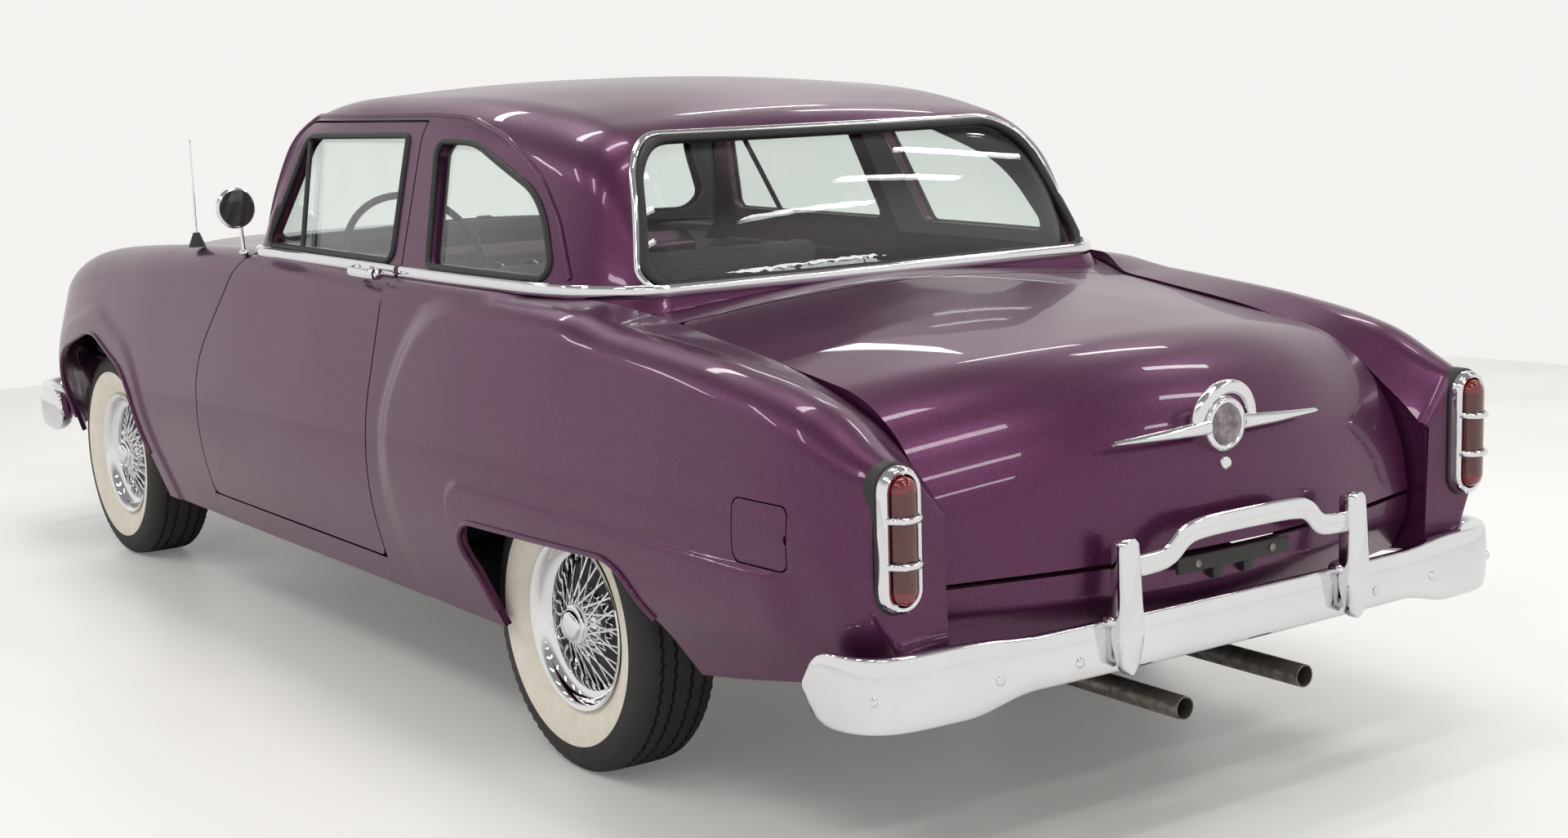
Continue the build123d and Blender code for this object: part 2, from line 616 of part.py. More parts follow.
# Floor: cabin floor, kick-up over the rear axle and luggage floor
LUGGAGE_Z = 600.0
FLOOR_HALF_Y = 840.0
LUGGAGE_HALF_Y = 640.0
KICK_X = -960.0
with BuildPart() as floor_pan:
    box_between((KICK_X, BONNET_REAR_X - PANEL_GAP), (-FLOOR_HALF_Y, FLOOR_HALF_Y), (FLOOR_Z - FLOOR_WALL, FLOOR_Z))
    box_between((KICK_X, KICK_X + FLOOR_WALL), (-LUGGAGE_HALF_Y, LUGGAGE_HALF_Y), (FLOOR_Z, LUGGAGE_Z))
    box_between((-2466, KICK_X + FLOOR_WALL), (-LUGGAGE_HALF_Y, LUGGAGE_HALF_Y), (LUGGAGE_Z - FLOOR_WALL, LUGGAGE_Z))
write(floor_pan, "floor_pan")

# Front suspension: a cross beam with an upper and a lower arm on each side
WHEEL_Z = TYRE_R - 2
ARM_REACH_Y = STEER_KINGPIN_Y + 34
UPPER_ARM_Z = 452.0
LOWER_ARM_Z = 238.0
ARM_DEPTH = 24.0
with BuildPart() as suspension_side:
    for z, half_x in ((UPPER_ARM_Z, 46), (LOWER_ARM_Z, 60)):
        with BuildSketch(Plane.XY.offset(z)):
            with Locations((FRONT_AXLE_X, STEER_KINGPIN_Y)):
                Circle(34)
            with Locations((FRONT_AXLE_X, (RAIL_Y + STEER_KINGPIN_Y) / 2)):
                Rectangle(half_x * 1.3, STEER_KINGPIN_Y - RAIL_Y)
        extrude(amount=ARM_DEPTH)
with BuildPart() as front_suspension:
    add(suspension_side.part)
    add(mirrored(suspension_side.part))
    box_between((FRONT_AXLE_X - 70, FRONT_AXLE_X + 70), (-RAIL_Y - 10, RAIL_Y + 10), (LOWER_ARM_Z, 298))
    for side in (1, -1):
        tower = sorted((side * (RAIL_Y - 6), side * (RAIL_Y - 66)))
        box_between((FRONT_AXLE_X - 46, FRONT_AXLE_X + 46), tower, (290, UPPER_ARM_Z + ARM_DEPTH))
        arm_foot = sorted((side * (RAIL_Y - 30), side * (RAIL_Y + 30)))
        box_between((FRONT_AXLE_X - 46, FRONT_AXLE_X + 46), arm_foot, (UPPER_ARM_Z, UPPER_ARM_Z + ARM_DEPTH))
    add(chassis_frame.part, mode=Mode.SUBTRACT)
write(front_suspension, "front_suspension")

# Steering knuckle: upright between the arms, spindle and steering arm
SPINDLE_TIP = 58.0
with BuildPart() as knuckle:
    low = LOWER_ARM_Z + ARM_DEPTH + SEAT_CLEARANCE
    high = UPPER_ARM_Z - SEAT_CLEARANCE
    with Locations((FRONT_AXLE_X, STEER_KINGPIN_Y, (low + high) / 2)):
        Cylinder(26, high - low)
    tip_y = FRONT_TRACK / 2 + SPINDLE_TIP
    with Locations((FRONT_AXLE_X, (STEER_KINGPIN_Y + tip_y) / 2, WHEEL_Z)):
        Cylinder(SPINDLE_R, tip_y - STEER_KINGPIN_Y, rotation=(90, 0, 0))
    box_between((FRONT_AXLE_X - 130, FRONT_AXLE_X), (STEER_KINGPIN_Y - 16, STEER_KINGPIN_Y + 12), (290, 312))
write_pair(knuckle.part, "knuckle")

# Rear axle on leaf springs
AXLE_TUBE_R = 44.0
HUB_BACK = -36.0
REAR_HALF_TRACK = REAR_TRACK / 2
with BuildPart() as rear_axle:
    with Locations((REAR_AXLE_X, 0, WHEEL_Z)):
        Cylinder(AXLE_TUBE_R, 2 * (REAR_HALF_TRACK + HUB_BACK - 6), rotation=(90, 0, 0))
        Cylinder(SPINDLE_R, 2 * (REAR_HALF_TRACK + SPINDLE_TIP), rotation=(90, 0, 0))
        Sphere(140)
write(rear_axle, "rear_axle")

SPRING_Y = 530.0
with BuildPart() as leaf_springs:
    for y in (SPRING_Y, -SPRING_Y):
        with BuildSketch(along(y + 32)):
            seat = WHEEL_Z + AXLE_TUBE_R + SEAT_CLEARANCE
            outline_face(
                [(-2010, 500), (REAR_AXLE_X - 120, seat), (REAR_AXLE_X + 120, seat), (-1000, 332), (-1000, 356),
                 (REAR_AXLE_X + 120, seat + 46), (REAR_AXLE_X - 120, seat + 46), (-2010, 524)],
                [0, 60, 60, 0, 0, 60, 60, 0],
            )
        extrude(amount=64)
        side = 1 if y > 0 else -1
        for x, z in ((-1990, 498), (-1020, 334)):
            hanger = sorted((y - 20 * side, (RAIL_Y + RAIL_WIDTH + SEAT_CLEARANCE) * side))
            box_between((x - 20, x + 20), hanger, (z - 24, z + 24))
write(leaf_springs, "leaf_springs")

# Wheels: tyre, wire wheel with hub, drum and two rows of crossed spokes
TYRE_PROFILE = [
    (-72, BEAD_R), (-72, 214), (-TYRE_WIDTH / 2, 258), (-104, 326), (-76, TYRE_R),
    (76, TYRE_R), (104, 326), (TYRE_WIDTH / 2, 258), (72, 214), (72, BEAD_R),
]
TYRE_CORNERS = [0, 12, 40, 26, 14, 14, 26, 40, 12, 0]
RIM_SEAT = BEAD_R - SEAT_CLEARANCE
RIM_HALF = RIM_WIDTH / 2
LIP_R = RIM_SEAT + 11
RIM_PROFILE = [
    (-RIM_HALF, RIM_SEAT - RIM_WALL), (-RIM_HALF, LIP_R), (-RIM_HALF + 5, LIP_R), (-RIM_HALF + 5, RIM_SEAT),
    (-30, RIM_SEAT), (-24, 184), (24, 184), (30, RIM_SEAT),
    (RIM_HALF - 5, RIM_SEAT), (RIM_HALF - 5, LIP_R), (RIM_HALF, LIP_R), (RIM_HALF, RIM_SEAT - RIM_WALL),
    (34, RIM_SEAT - RIM_WALL), (28, 176), (-28, 176), (-34, RIM_SEAT - RIM_WALL),
]
HUB_FRONT = HUB_BACK + HUB_LENGTH
HUB_PROFILE = [
    (HUB_BACK, SPINDLE_R + RUNNING_CLEARANCE), (HUB_BACK, DRUM_R), (HUB_BACK + DRUM_WIDTH, DRUM_R),
    (HUB_BACK + DRUM_WIDTH, HUB_R), (HUB_FRONT - 34, HUB_R), (HUB_FRONT - 20, 46), (HUB_FRONT, 34),
    (HUB_FRONT, 0), (SPINDLE_TIP + 2, 0), (SPINDLE_TIP + 2, SPINDLE_R + RUNNING_CLEARANCE),
]
# Spoke rows: hub radius and offset, rim offset and twist between hub and rim
Spokes = namedtuple("Spokes", "hub_r hub_w rim_w twist_deg")
SPOKE_ROWS = [Spokes(56, 66, 18, 24), Spokes(56, 66, 18, -24), Spokes(56, 34, -18, 20), Spokes(56, 34, -18, -20)]
SPOKE_END_R = 179.0


def wheel_point(radius, offset, degrees):
    """Point on the wheel at a radius, an outboard offset and an angle."""
    return Vector(radius * cos(radians(degrees)), offset, radius * sin(radians(degrees)))


def revolved(profile, corners):
    """Body of revolution about the wheel's axle from a profile of (offset, radius)."""
    with BuildPart() as body:
        with BuildSketch(across(0)):
            outline_face(profile, corners)
        revolve(axis=Axis.Y)
    return body.part


tyre_form = revolved(TYRE_PROFILE, TYRE_CORNERS)
with BuildPart() as wheel_form:
    add(revolved(RIM_PROFILE, [0] * len(RIM_PROFILE)))
    add(revolved(HUB_PROFILE, [0] * len(HUB_PROFILE)))
    for row in SPOKE_ROWS:
        for i in range(SPOKE_COUNT):
            angle = 360 / SPOKE_COUNT * i
            start = wheel_point(row.hub_r, row.hub_w, angle)
            end = wheel_point(SPOKE_END_R, row.rim_w, angle + row.twist_deg)
            with BuildSketch(Plane(origin=start, z_dir=end - start)):
                RegularPolygon(SPOKE_R, 6)
        extrude(amount=(end - start).length)

for x, half_track, end in ((FRONT_AXLE_X, FRONT_TRACK / 2, "front"), (REAR_AXLE_X, REAR_HALF_TRACK, "rear")):
    for form, name in ((tyre_form, "tyre"), (wheel_form.part, "wheel")):
        with BuildPart() as placed:
            with Locations((x, half_track, WHEEL_Z)):
                add(form)
        write_pair(placed.part, f"{name}_{end}")

# Engine block, exhaust and fuel tank
with BuildPart() as engine:
    box_between((1060, 1800), (-240, 240), (400, 860))
    box_between((820, 1060), (-150, 150), (400, 640))
    box_between((1450, 1540), (-RAIL_Y - RAIL_WIDTH / 2, RAIL_Y + RAIL_WIDTH / 2), (372, 402))
    add(chassis_frame.part, mode=Mode.SUBTRACT)
write(engine, "engine")

PIPE_Y = 179.0
PIPE_R = 25.0
PIPE_WALL = 2.5
PIPE_TIP_X = -2643.0
PIPE_PATH = [(900, 250), (-1650, 210), (-1950, 314), (PIPE_TIP_X, 314)]
MUFFLER_X = (-700, -100)
with BuildPart() as exhaust:
    for y in (PIPE_Y, -PIPE_Y):
        with BuildLine(along(y)) as pipe:
            FilletPolyline(*PIPE_PATH, radius=200)
        with BuildSketch(Plane(origin=pipe.line @ 0, z_dir=pipe.line % 0)):
            Circle(PIPE_R)
        sweep(path=pipe.line)
        with Locations(((MUFFLER_X[0] + MUFFLER_X[1]) / 2, y, 232)):
            Cylinder(62, MUFFLER_X[1] - MUFFLER_X[0], rotation=(0, 90, 0))
        with Locations((PIPE_TIP_X + 60, y, PIPE_PATH[-1][1])):
            Cylinder(PIPE_R - PIPE_WALL, 122, rotation=(0, 90, 0), mode=Mode.SUBTRACT)
write(exhaust, "exhaust")

with BuildPart() as fuel_tank:
    tank_half = RAIL_Y - SEAT_CLEARANCE
    box_between((-2330, -1800), (-tank_half, tank_half), (370, 480))
    fillet(fuel_tank.edges().filter_by(Axis.Z), 50)
write(fuel_tank, "fuel_tank")

# Bumpers: a bar bent round the corners with fuller ends, uprights, and an arched band at the rear
BAR_HEIGHT = 113.0
BAR_DEPTH = 40.0
BULB_HEIGHT = 150.0
BULB_DEPTH = 58.0
BULB_DROP = 8.0
BULB_INNER_Y = 640.0
TIP_LENGTH = 34.0
BUMPER_Z = 468.0
BUMPER_BEND = 160.0
BUMPER_BOW = 9000.0
BUMPER_SWEEP = 60.0
GUARD_Y = 336.0


def bar_plane(at, ahead):
    """Plane across a bumper's path, with its first direction upwards."""
    return Plane(origin=at, x_dir=(0, 0, 1), z_dir=ahead)


def bulb_end(middle, out, wrap_x, reach):
    """Fuller left end of a bumper bar, with a rounded tip and a taper into the bar."""
    inner_x = middle - out * BUMPER_SWEEP * BULB_INNER_Y / reach
    with BuildPart() as bulb:
        with BuildLine(Plane.XY.offset(BUMPER_Z - BULB_DROP)) as path:
            FilletPolyline((wrap_x, reach), (middle - out * BUMPER_SWEEP, reach), (inner_x, BULB_INNER_Y), radius=BUMPER_BEND)
        with BuildSketch(bar_plane(path.line @ 0, path.line % 0)):
            RectangleRounded(BULB_HEIGHT, BULB_DEPTH, BULB_DEPTH * 0.46)
        sweep(path=path.line)
        for at, ahead, size in (
            (path.line @ 0, -(path.line % 0) * TIP_LENGTH, 0.55),
            (path.line @ 1, path.line % 1 * 2 * TIP_LENGTH, BAR_HEIGHT / BULB_HEIGHT),
        ):
            for step, share in ((0, 1), (1, size)):
                with BuildSketch(bar_plane(at + ahead * step, ahead)):
                    RectangleRounded(BULB_HEIGHT * share, BULB_DEPTH * share, BULB_DEPTH * share * 0.46)
            loft()
    return bulb.part


def bumper_bar(end_x, wrap_x, half_width):
    """Bumper bar bent in plan from one wrapped end to the other; end_x is its outermost face."""
    out = 1 if end_x > 0 else -1
    middle = end_x - out * BAR_DEPTH / 2
    reach = half_width - BULB_DEPTH / 2
    half = [(wrap_x, reach), (middle - out * BUMPER_SWEEP, reach), (middle, 0)]
    points = half + [(x, -y) for x, y in half[1::-1]]
    with BuildPart() as bar:
        with BuildLine(Plane.XY.offset(BUMPER_Z)) as path:
            FilletPolyline(*points, radius=[BUMPER_BEND, BUMPER_BOW, BUMPER_BEND])
        with BuildSketch(bar_plane(path.line @ 0, path.line % 0)):
            RectangleRounded(BAR_HEIGHT, BAR_DEPTH, BAR_DEPTH * 0.46)
        sweep(path=path.line)
    end = bulb_end(middle, out, wrap_x, reach)
    with BuildPart() as whole:
        add(bar.part)
        add(end)
        add(mirrored(end))
    return whole.part


# Upright sections from foot to top: share of the height, width, depth and set-back of the face
Guard = namedtuple("Guard", "share width depth set_back")
GUARD_SECTIONS = [Guard(0, 54, 40, 22), Guard(0.25, 72, 62, 0), Guard(0.8, 60, 50, 4), Guard(1, 46, 32, 14)]


def guard_pair(end_x, low_z, high_z):
    """Two blade-like uprights on a bumper."""
    out = 1 if end_x > 0 else -1
    with BuildPart() as guards:
        for y in (GUARD_Y, -GUARD_Y):
            for g in GUARD_SECTIONS:
                with BuildSketch(Plane.XY.offset(low_z + g.share * (high_z - low_z))):
                    with Locations((end_x - out * (g.set_back + g.depth / 2), y)):
                        RectangleRounded(g.depth, g.width, 15)
            loft()
    return guards.part


BAND_HEIGHT = 44.0
BAND_DEPTH = 14.0
BAND_STEP_Y = 205.0
BAND_LOW_Z = 632.0
BAND_HIGH_Z = 688.0
with BuildPart() as rear_bumper:
    add(bumper_bar(REAR_END_X + 16, -2400, BODY_WIDTH / 2 - 10))
    add(guard_pair(REAR_END_X, 416, 694))
    with BuildLine(across(REAR_END_X + 28)) as band:
        FilletPolyline(
            (-GUARD_Y, BAND_LOW_Z), (-BAND_STEP_Y - 30, BAND_LOW_Z), (-BAND_STEP_Y + 30, BAND_HIGH_Z),
            (BAND_STEP_Y - 30, BAND_HIGH_Z), (BAND_STEP_Y + 30, BAND_LOW_Z), (GUARD_Y, BAND_LOW_Z), radius=36,
        )
    with BuildSketch(Plane(origin=band.line @ 0, x_dir=(0, 0, 1), z_dir=band.line % 0)):
        RectangleRounded(BAND_HEIGHT, BAND_DEPTH, BAND_DEPTH * 0.4)
    sweep(path=band.line)
    for side in (1, -1):
        bracket = sorted((side * (RAIL_Y + 10), side * (RAIL_Y + RAIL_WIDTH - 10)))
        box_between((REAR_END_X + 50, -2420), bracket, (415, 440))
    add(chassis_frame.part, mode=Mode.SUBTRACT)
write(rear_bumper, "rear_bumper")

with BuildPart() as front_bumper:
    add(bumper_bar(FRONT_END_X - 16, 2210, BODY_WIDTH / 2 - 32))
    add(guard_pair(FRONT_END_X, 416, 630))
    for side in (1, -1):
        bracket = sorted((side * (RAIL_Y + 8), side * (RAIL_Y + RAIL_WIDTH - 44)))
        box_between((2400, FRONT_END_X - 40), bracket, (390, 425))
    add(chassis_frame.part, mode=Mode.SUBTRACT)
write(front_bumper, "front_bumper")

# Lamps
TAIL_LAMP_Y = 832.0
TAIL_LAMP_Z = (606.0, 892.0)
TAIL_LAMP_WIDTH = 96.0
HEAD_LAMP_Y = 635.0
HEAD_LAMP_Z = 700.0
HEAD_LAMP_R = 92.0
LENS_INSET = 16.0


def lamp_pair(width, height, centre, x_from, depth, hole):
    """Two lamp bodies with round ends on the left and right, hollow when a hole is given."""
    with BuildPart() as lamps:
        for y in (centre[0], -centre[0]):
            with BuildSketch(across(x_from)):
                with Locations((y, centre[1])):
                    RectangleRounded(width, height, width * 0.499)
                    if hole:
                        RectangleRounded(width - 2 * hole, height - 2 * hole, (width - 2 * hole) * 0.499, mode=Mode.SUBTRACT)
            extrude(amount=depth)
    return lamps


tail_centre = (TAIL_LAMP_Y, sum(TAIL_LAMP_Z) / 2)
tail_height = TAIL_LAMP_Z[1] - TAIL_LAMP_Z[0]
lens_trim = 2 * (LENS_INSET + SEAT_CLEARANCE)
tail_face = TAIL_X - SEAT_CLEARANCE
write(lamp_pair(TAIL_LAMP_WIDTH, tail_height, tail_centre, tail_face, -26, LENS_INSET), "tail_lamp_bezels")
write(lamp_pair(TAIL_LAMP_WIDTH - lens_trim, tail_height - lens_trim, tail_centre, tail_face, -36, 0), "tail_lamp_lenses")
head_face = 2470 + SEAT_CLEARANCE
head_centre = (HEAD_LAMP_Y, HEAD_LAMP_Z)
head_size = 2 * HEAD_LAMP_R
write(lamp_pair(head_size, head_size + 1, head_centre, head_face, 40, LENS_INSET), "head_lamp_bezels")
write(lamp_pair(head_size - lens_trim, head_size + 1 - lens_trim, head_centre, head_face, 52, 0), "head_lamp_lenses")

# Cabin: seats, parcel shelf, dashboard and steering
with BuildPart() as front_seat:
    box_between((-280, 300), (-640, 640), (FLOOR_Z + SEAT_CLEARANCE, 660))
    with BuildSketch(along(640)):
        outline_face([(-280, 560), (-120, 560), (-220, 1120), (-350, 1120)], [0, 60, 50, 50])
    extrude(amount=1280)
write(front_seat, "front_seat")

with BuildPart() as rear_seat:
    box_between((-940, -480), (-600, 600), (FLOOR_Z + SEAT_CLEARANCE, 690))
    with BuildSketch(along(600)):
        outline_face([(-1180, 640), (-900, 640), (-1030, 1060), (-1180, 1060)], [0, 60, 60, 0])
    extrude(amount=1200)
write(rear_seat, "rear_seat")

with BuildPart() as parcel_shelf:
    box_between((-1420, -1180 - SEAT_CLEARANCE), (-620, 620), (1040, 1060))
write(parcel_shelf, "parcel_shelf")

with BuildPart() as dashboard:
    with BuildSketch(along(700)):
        outline_face([(FIREWALL_X, 1080), (540, 1080), (470, 1040), (500, 880), (560, 860), (FIREWALL_X, 860)],
                     [0, 40, 30, 30, 20, 0])
    extrude(amount=1400)
write(dashboard, "dashboard")

COLUMN_Y = 430.0
COLUMN_TILT = 28.0
STEERING_HUB = (262.0, 1072.0)
STEERING_R = 218.0
column_dir = Vector(-cos(radians(COLUMN_TILT)), 0, sin(radians(COLUMN_TILT)))
hub_centre = Vector(STEERING_HUB[0], COLUMN_Y, STEERING_HUB[1])
wheel_plane = Plane(origin=hub_centre, x_dir=(0, 1, 0), z_dir=column_dir)
with BuildPart() as steering_wheel:
    with BuildSketch(wheel_plane.offset(-14)):
        Circle(46)
    extrude(amount=28)
    with BuildSketch(wheel_plane.offset(-6)):
        Rectangle(2 * STEERING_R, 22)
    extrude(amount=12)
    with BuildSketch(Plane(origin=hub_centre, x_dir=(0, 1, 0), z_dir=column_dir.cross(Vector(0, 1, 0)))):
        with Locations((STEERING_R, 0)):
            Circle(11)
    revolve(axis=Axis(hub_centre, column_dir))
write(steering_wheel, "steering_wheel")

with BuildPart() as steering_column:
    with BuildSketch(wheel_plane.offset(-14 - SEAT_CLEARANCE)):
        Circle(30)
    extrude(amount=-300)
    add(dashboard.part, mode=Mode.SUBTRACT)
write(steering_column, "steering_column")

# Fuel door, mirror, antenna and the ornament on the luggage lid
with BuildPart() as fuel_door:
    add(side_shell(QUARTER, [-2030, -2170, -2300, -2400], 8, True))
    add(prism(FUEL_DOOR, FUEL_DOOR_CORNERS, 870, OUTBOARD_Y), mode=Mode.INTERSECT)
    upright_pin(FUEL_DOOR_FRONT_X, FUEL_HINGE_Y, FUEL_HINGE_Z, HINGE_HOLE_R, Mode.SUBTRACT)
write(fuel_door, "fuel_door")

MIRROR_AT = (516, 880, 1250)
MIRROR_FOOT_Z = 1102.0
with BuildPart() as mirror_body:
    with Locations(MIRROR_AT):
        Cylinder(60, 26, rotation=(0, 90, 0))
    stalk_x = (MIRROR_AT[0] + 9, MIRROR_AT[0] + 23)
    stalk_y = (MIRROR_AT[1] - 30, MIRROR_AT[1] - 16)
    box_between(stalk_x, stalk_y, (MIRROR_FOOT_Z, MIRROR_AT[2] - 30))
    with Locations((0, 0, SEAT_CLEARANCE)):
        add(front_fender.part, mode=Mode.SUBTRACT)
write(mirror_body, "mirror")

ANTENNA_AT = (921, 850, 1126)
ANTENNA_TIP_Z = 1440.0
with BuildPart() as antenna:
    with Locations(ANTENNA_AT):
        Cone(30, 9, 56)
    with Locations((ANTENNA_AT[0], ANTENNA_AT[1], (ANTENNA_AT[2] + ANTENNA_TIP_Z) / 2)):
        Cylinder(2.6, ANTENNA_TIP_Z - ANTENNA_AT[2])
    with Locations((0, 0, SEAT_CLEARANCE)):
        add(front_fender.part, mode=Mode.SUBTRACT)
write(antenna, "antenna")

ORNAMENT_Z = 874.0
ORNAMENT_FACE_X = -2560.0
MEDALLION_R = 52.0
ARCH_R = 95.0
ARCH_BAND = 32.0
WING_TIP_Y = 296.0
WING_ROOT = 17.0
WING_TIP = 5.0
with BuildPart() as deck_ornament:
    with BuildSketch(across(ORNAMENT_FACE_X)):
        with Locations((0, ORNAMENT_Z)):
            Circle(ARCH_R)
            Circle(ARCH_R - ARCH_BAND, mode=Mode.SUBTRACT)
            Rectangle(2 * ARCH_R, ARCH_R, align=(Align.CENTER, Align.MAX), mode=Mode.SUBTRACT)
            Circle(MEDALLION_R)
            Polygon(
                (WING_TIP_Y, -WING_TIP), (WING_TIP_Y, WING_TIP), (0, WING_ROOT), (-WING_TIP_Y, WING_TIP),
                (-WING_TIP_Y, -WING_TIP), (0, -WING_ROOT), align=None,
            )
    extrude(amount=-26)
    add(trunk_lid.part, mode=Mode.SUBTRACT)
write(deck_ornament, "deck_ornament")
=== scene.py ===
import json
import math
from collections import namedtuple

import bmesh
import bpy
from bpy.props import FloatProperty, FloatVectorProperty, PointerProperty
from mathutils import Matrix, Vector
from mathutils.bvhtree import BVHTree
from mathutils.kdtree import KDTree


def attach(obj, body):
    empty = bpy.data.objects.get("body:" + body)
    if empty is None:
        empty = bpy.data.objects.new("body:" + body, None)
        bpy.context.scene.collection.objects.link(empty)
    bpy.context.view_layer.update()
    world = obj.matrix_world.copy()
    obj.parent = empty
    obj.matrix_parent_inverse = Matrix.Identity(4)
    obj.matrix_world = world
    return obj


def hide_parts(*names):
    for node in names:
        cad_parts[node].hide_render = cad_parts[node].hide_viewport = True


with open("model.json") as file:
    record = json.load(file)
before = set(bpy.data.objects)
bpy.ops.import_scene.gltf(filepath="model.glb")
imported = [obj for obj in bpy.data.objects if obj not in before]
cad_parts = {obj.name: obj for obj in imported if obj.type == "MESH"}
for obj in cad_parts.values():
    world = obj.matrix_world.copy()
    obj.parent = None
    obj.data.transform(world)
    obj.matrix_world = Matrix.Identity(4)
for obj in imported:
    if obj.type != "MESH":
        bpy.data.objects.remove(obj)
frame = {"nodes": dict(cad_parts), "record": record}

bl_info = {
    "name": "Club sedan",
    "version": (1, 0, 0),
    "blender": (4, 5, 0),
    "location": "View3D > Sidebar > Club sedan",
    "description": "Builds a two-door club sedan of the early 1950s over its packed solids",
    "category": "Object",
}

MM = 0.001
UP = Vector((0, 0, 1))
SIDES = ((1, "left"), (-1, "right"))

# Body sections: each row gives the sill, the widest line, the crest and the inner top edge at one station
Side = namedtuple("Side", "x sill_y sill_z wide_y wide_z crest_y crest_z top_y top_z wide_r crest_r")
SIDE = [
    Side(2470, 640, 560, 745, 660, 700, 815, 520, 800, 90, 60),
    Side(2380, 735, 470, 838, 640, 765, 900, 575, 880, 170, 90),
    Side(2200, 840, 400, 920, 640, 830, 985, 620, 950, 330, 110),
    Side(1900, 895, 350, 968, 640, 868, 1056, 640, 1020, 600, 120),
    Side(1400, 912, 312, 988, 640, 884, 1098, 645, 1072, 850, 120),
    Side(700, 912, 305, 990, 640, 886, 1122, 650, 1112, 850, 100),
    Side(-484, 905, 305, 990, 640, 886, 1118, 650, 1112, 850, 100),
    Side(-1150, 905, 305, 990, 640, 886, 1110, 650, 1106, 850, 100),
]
QUARTER = [
    Side(-500, 908, 312, 1002, 640, 912, 1092, 826, 1108, 800, 90),
    Side(-900, 908, 308, 1012, 650, 918, 1088, 822, 1106, 800, 100),
    Side(-1400, 908, 312, 1012, 660, 914, 1082, 770, 1106, 800, 110),
    Side(-1540, 905, 322, 1012, 664, 909, 1076, 706, 1076, 760, 110),
    Side(-1573, 904, 325, 1012, 665, 908, 1074, 694, 1068, 750, 110),
    Side(-1700, 900, 338, 1011, 669, 905, 1069, 695, 1052, 712, 110),
    Side(-2032, 884, 380, 1006, 680, 896, 1052, 696, 1006, 600, 110),
    Side(-2304, 864, 425, 985, 690, 884, 1032, 698, 928, 420, 105),
    Side(-2450, 840, 450, 952, 690, 868, 975, 700, 836, 220, 80),
    Side(-2530, 800, 474, 908, 690, 850, 945, 704, 770, 120, 50),
]
# Leading edge of the rear fender's bulge, as height and station
Lead = namedtuple("Lead", "z x")
LEAD = [Lead(300, -640), Lead(480, -575), Lead(680, -548), Lead(830, -566), Lead(960, -640), Lead(1040, -760),
        Lead(1090, -960), Lead(1120, -1150)]
# Greenhouse sections
Arch = namedtuple("Arch", "x foot_y corner_y corner_z crown_z corner_r")
ARCH_FOOT_Z = 1040.0
ARCHES = [
    Arch(690, 480, 300, 1084, 1096, 20),
    Arch(590, 735, 590, 1240, 1262, 60),
    Arch(470, 858, 712, 1428, 1478, 110),
    Arch(300, 862, 706, 1530, 1578, 150),
    Arch(-200, 864, 700, 1556, 1612, 170),
    Arch(-700, 864, 700, 1546, 1604, 190),
    Arch(-1080, 850, 690, 1496, 1556, 200),
    Arch(-1260, 828, 672, 1424, 1490, 170),
    Arch(-1380, 790, 640, 1250, 1306, 110),
    Arch(-1480, 744, 640, 1080, 1098, 30),
]
# Lids: the path from the front edge over the knee to the low edge, at distances from the middle
Lid = namedtuple("Lid", "y front_z knee_x knee_z low_x low_z knee_r")
DECK = [
    Lid(0, 1126, -2582, 1015, -2598, 628, 340),
    Lid(340, 1114, -2550, 1000, -2572, 628, 350),
    Lid(700, 1088, -2440, 950, -2490, 628, 360),
]
BONNET = [
    Lid(0, 1150, 2490, 1010, 2530, 780, 200),
    Lid(340, 1140, 2470, 990, 2510, 780, 190),
    Lid(660, 1112, 2380, 900, 2420, 780, 100),
]
DECK_FRONT_X = -1380
# Openings and panels as outlines with a radius at each corner
DOOR_OUTLINE = [(705, 383), (705, 800), (480, 1122), (348, 1492), (-418, 1502), (-480, 1122), (-480, 383)]
DOOR_CORNERS = [40, 330, 60, 65, 12, 30, 25]
DOOR_WINDOW = [(392, 1150), (290, 1452), (-348, 1464), (-415, 1150)]
DOOR_WINDOW_CORNERS = [25, 60, 25, 25]
QUARTER_WINDOW = [(-628, 1150), (-530, 1452), (-720, 1452), (-1085, 1330), (-1200, 1150)]
QUARTER_WINDOW_CORNERS = [25, 30, 400, 280, 30]
SCREEN = [(770, 1140), (660, 1460), (-660, 1460), (-770, 1140)]
SCREEN_CORNERS = [60, 90, 90, 60]
BACKLIGHT = [(674, 1136), (586, 1458), (-586, 1458), (-674, 1136)]
BACKLIGHT_CORNERS = [45, 140, 140, 45]
FRONT_ARCH = [(1070, 200), (1330, 690), (1690, 800), (2090, 690), (2165, 200)]
FRONT_ARCH_CORNERS = [0, 230, 330, 200, 0]
REAR_ARCH = [(-1145, 200), (-975, 575), (-1760, 600), (-2060, 200)]
REAR_ARCH_CORNERS = [0, 90, 150, 0]
FUEL_DOOR = [(-2177, 670), (-2177, 796), (-2344, 796), (-2344, 670)]
FUEL_DOOR_CORNERS = [22] * 4
FUEL_NOTCH = [(-2338, 722), (-2338, 746), (-2362, 746), (-2362, 722)]
LID_PLAN = [(-1573, 685), (-2500, 691), (-2800, 691)]
DECK_PLAN = [(-1380, 764), (-1567, 688)]
BONNET_PLAN = [(800, 642), (1900, 632), (2200, 610), (2380, 562), (2600, 430)]
VENT_DIVIDER = [(159, 1146), (272, 1440)]
DRIP_LINE = [(508, 1160), (386, 1462), (340, 1510), (-430, 1521), (-640, 1514), (-850, 1470), (-1050, 1388),
             (-1170, 1284), (-1262, 1150)]
DRIP_CORNERS = [0, 60, 60, 300, 500, 500, 400, 300, 0]
HANDLE = [(-296, 868), (-304, 902), (-330, 908), (-420, 908), (-452, 900)]
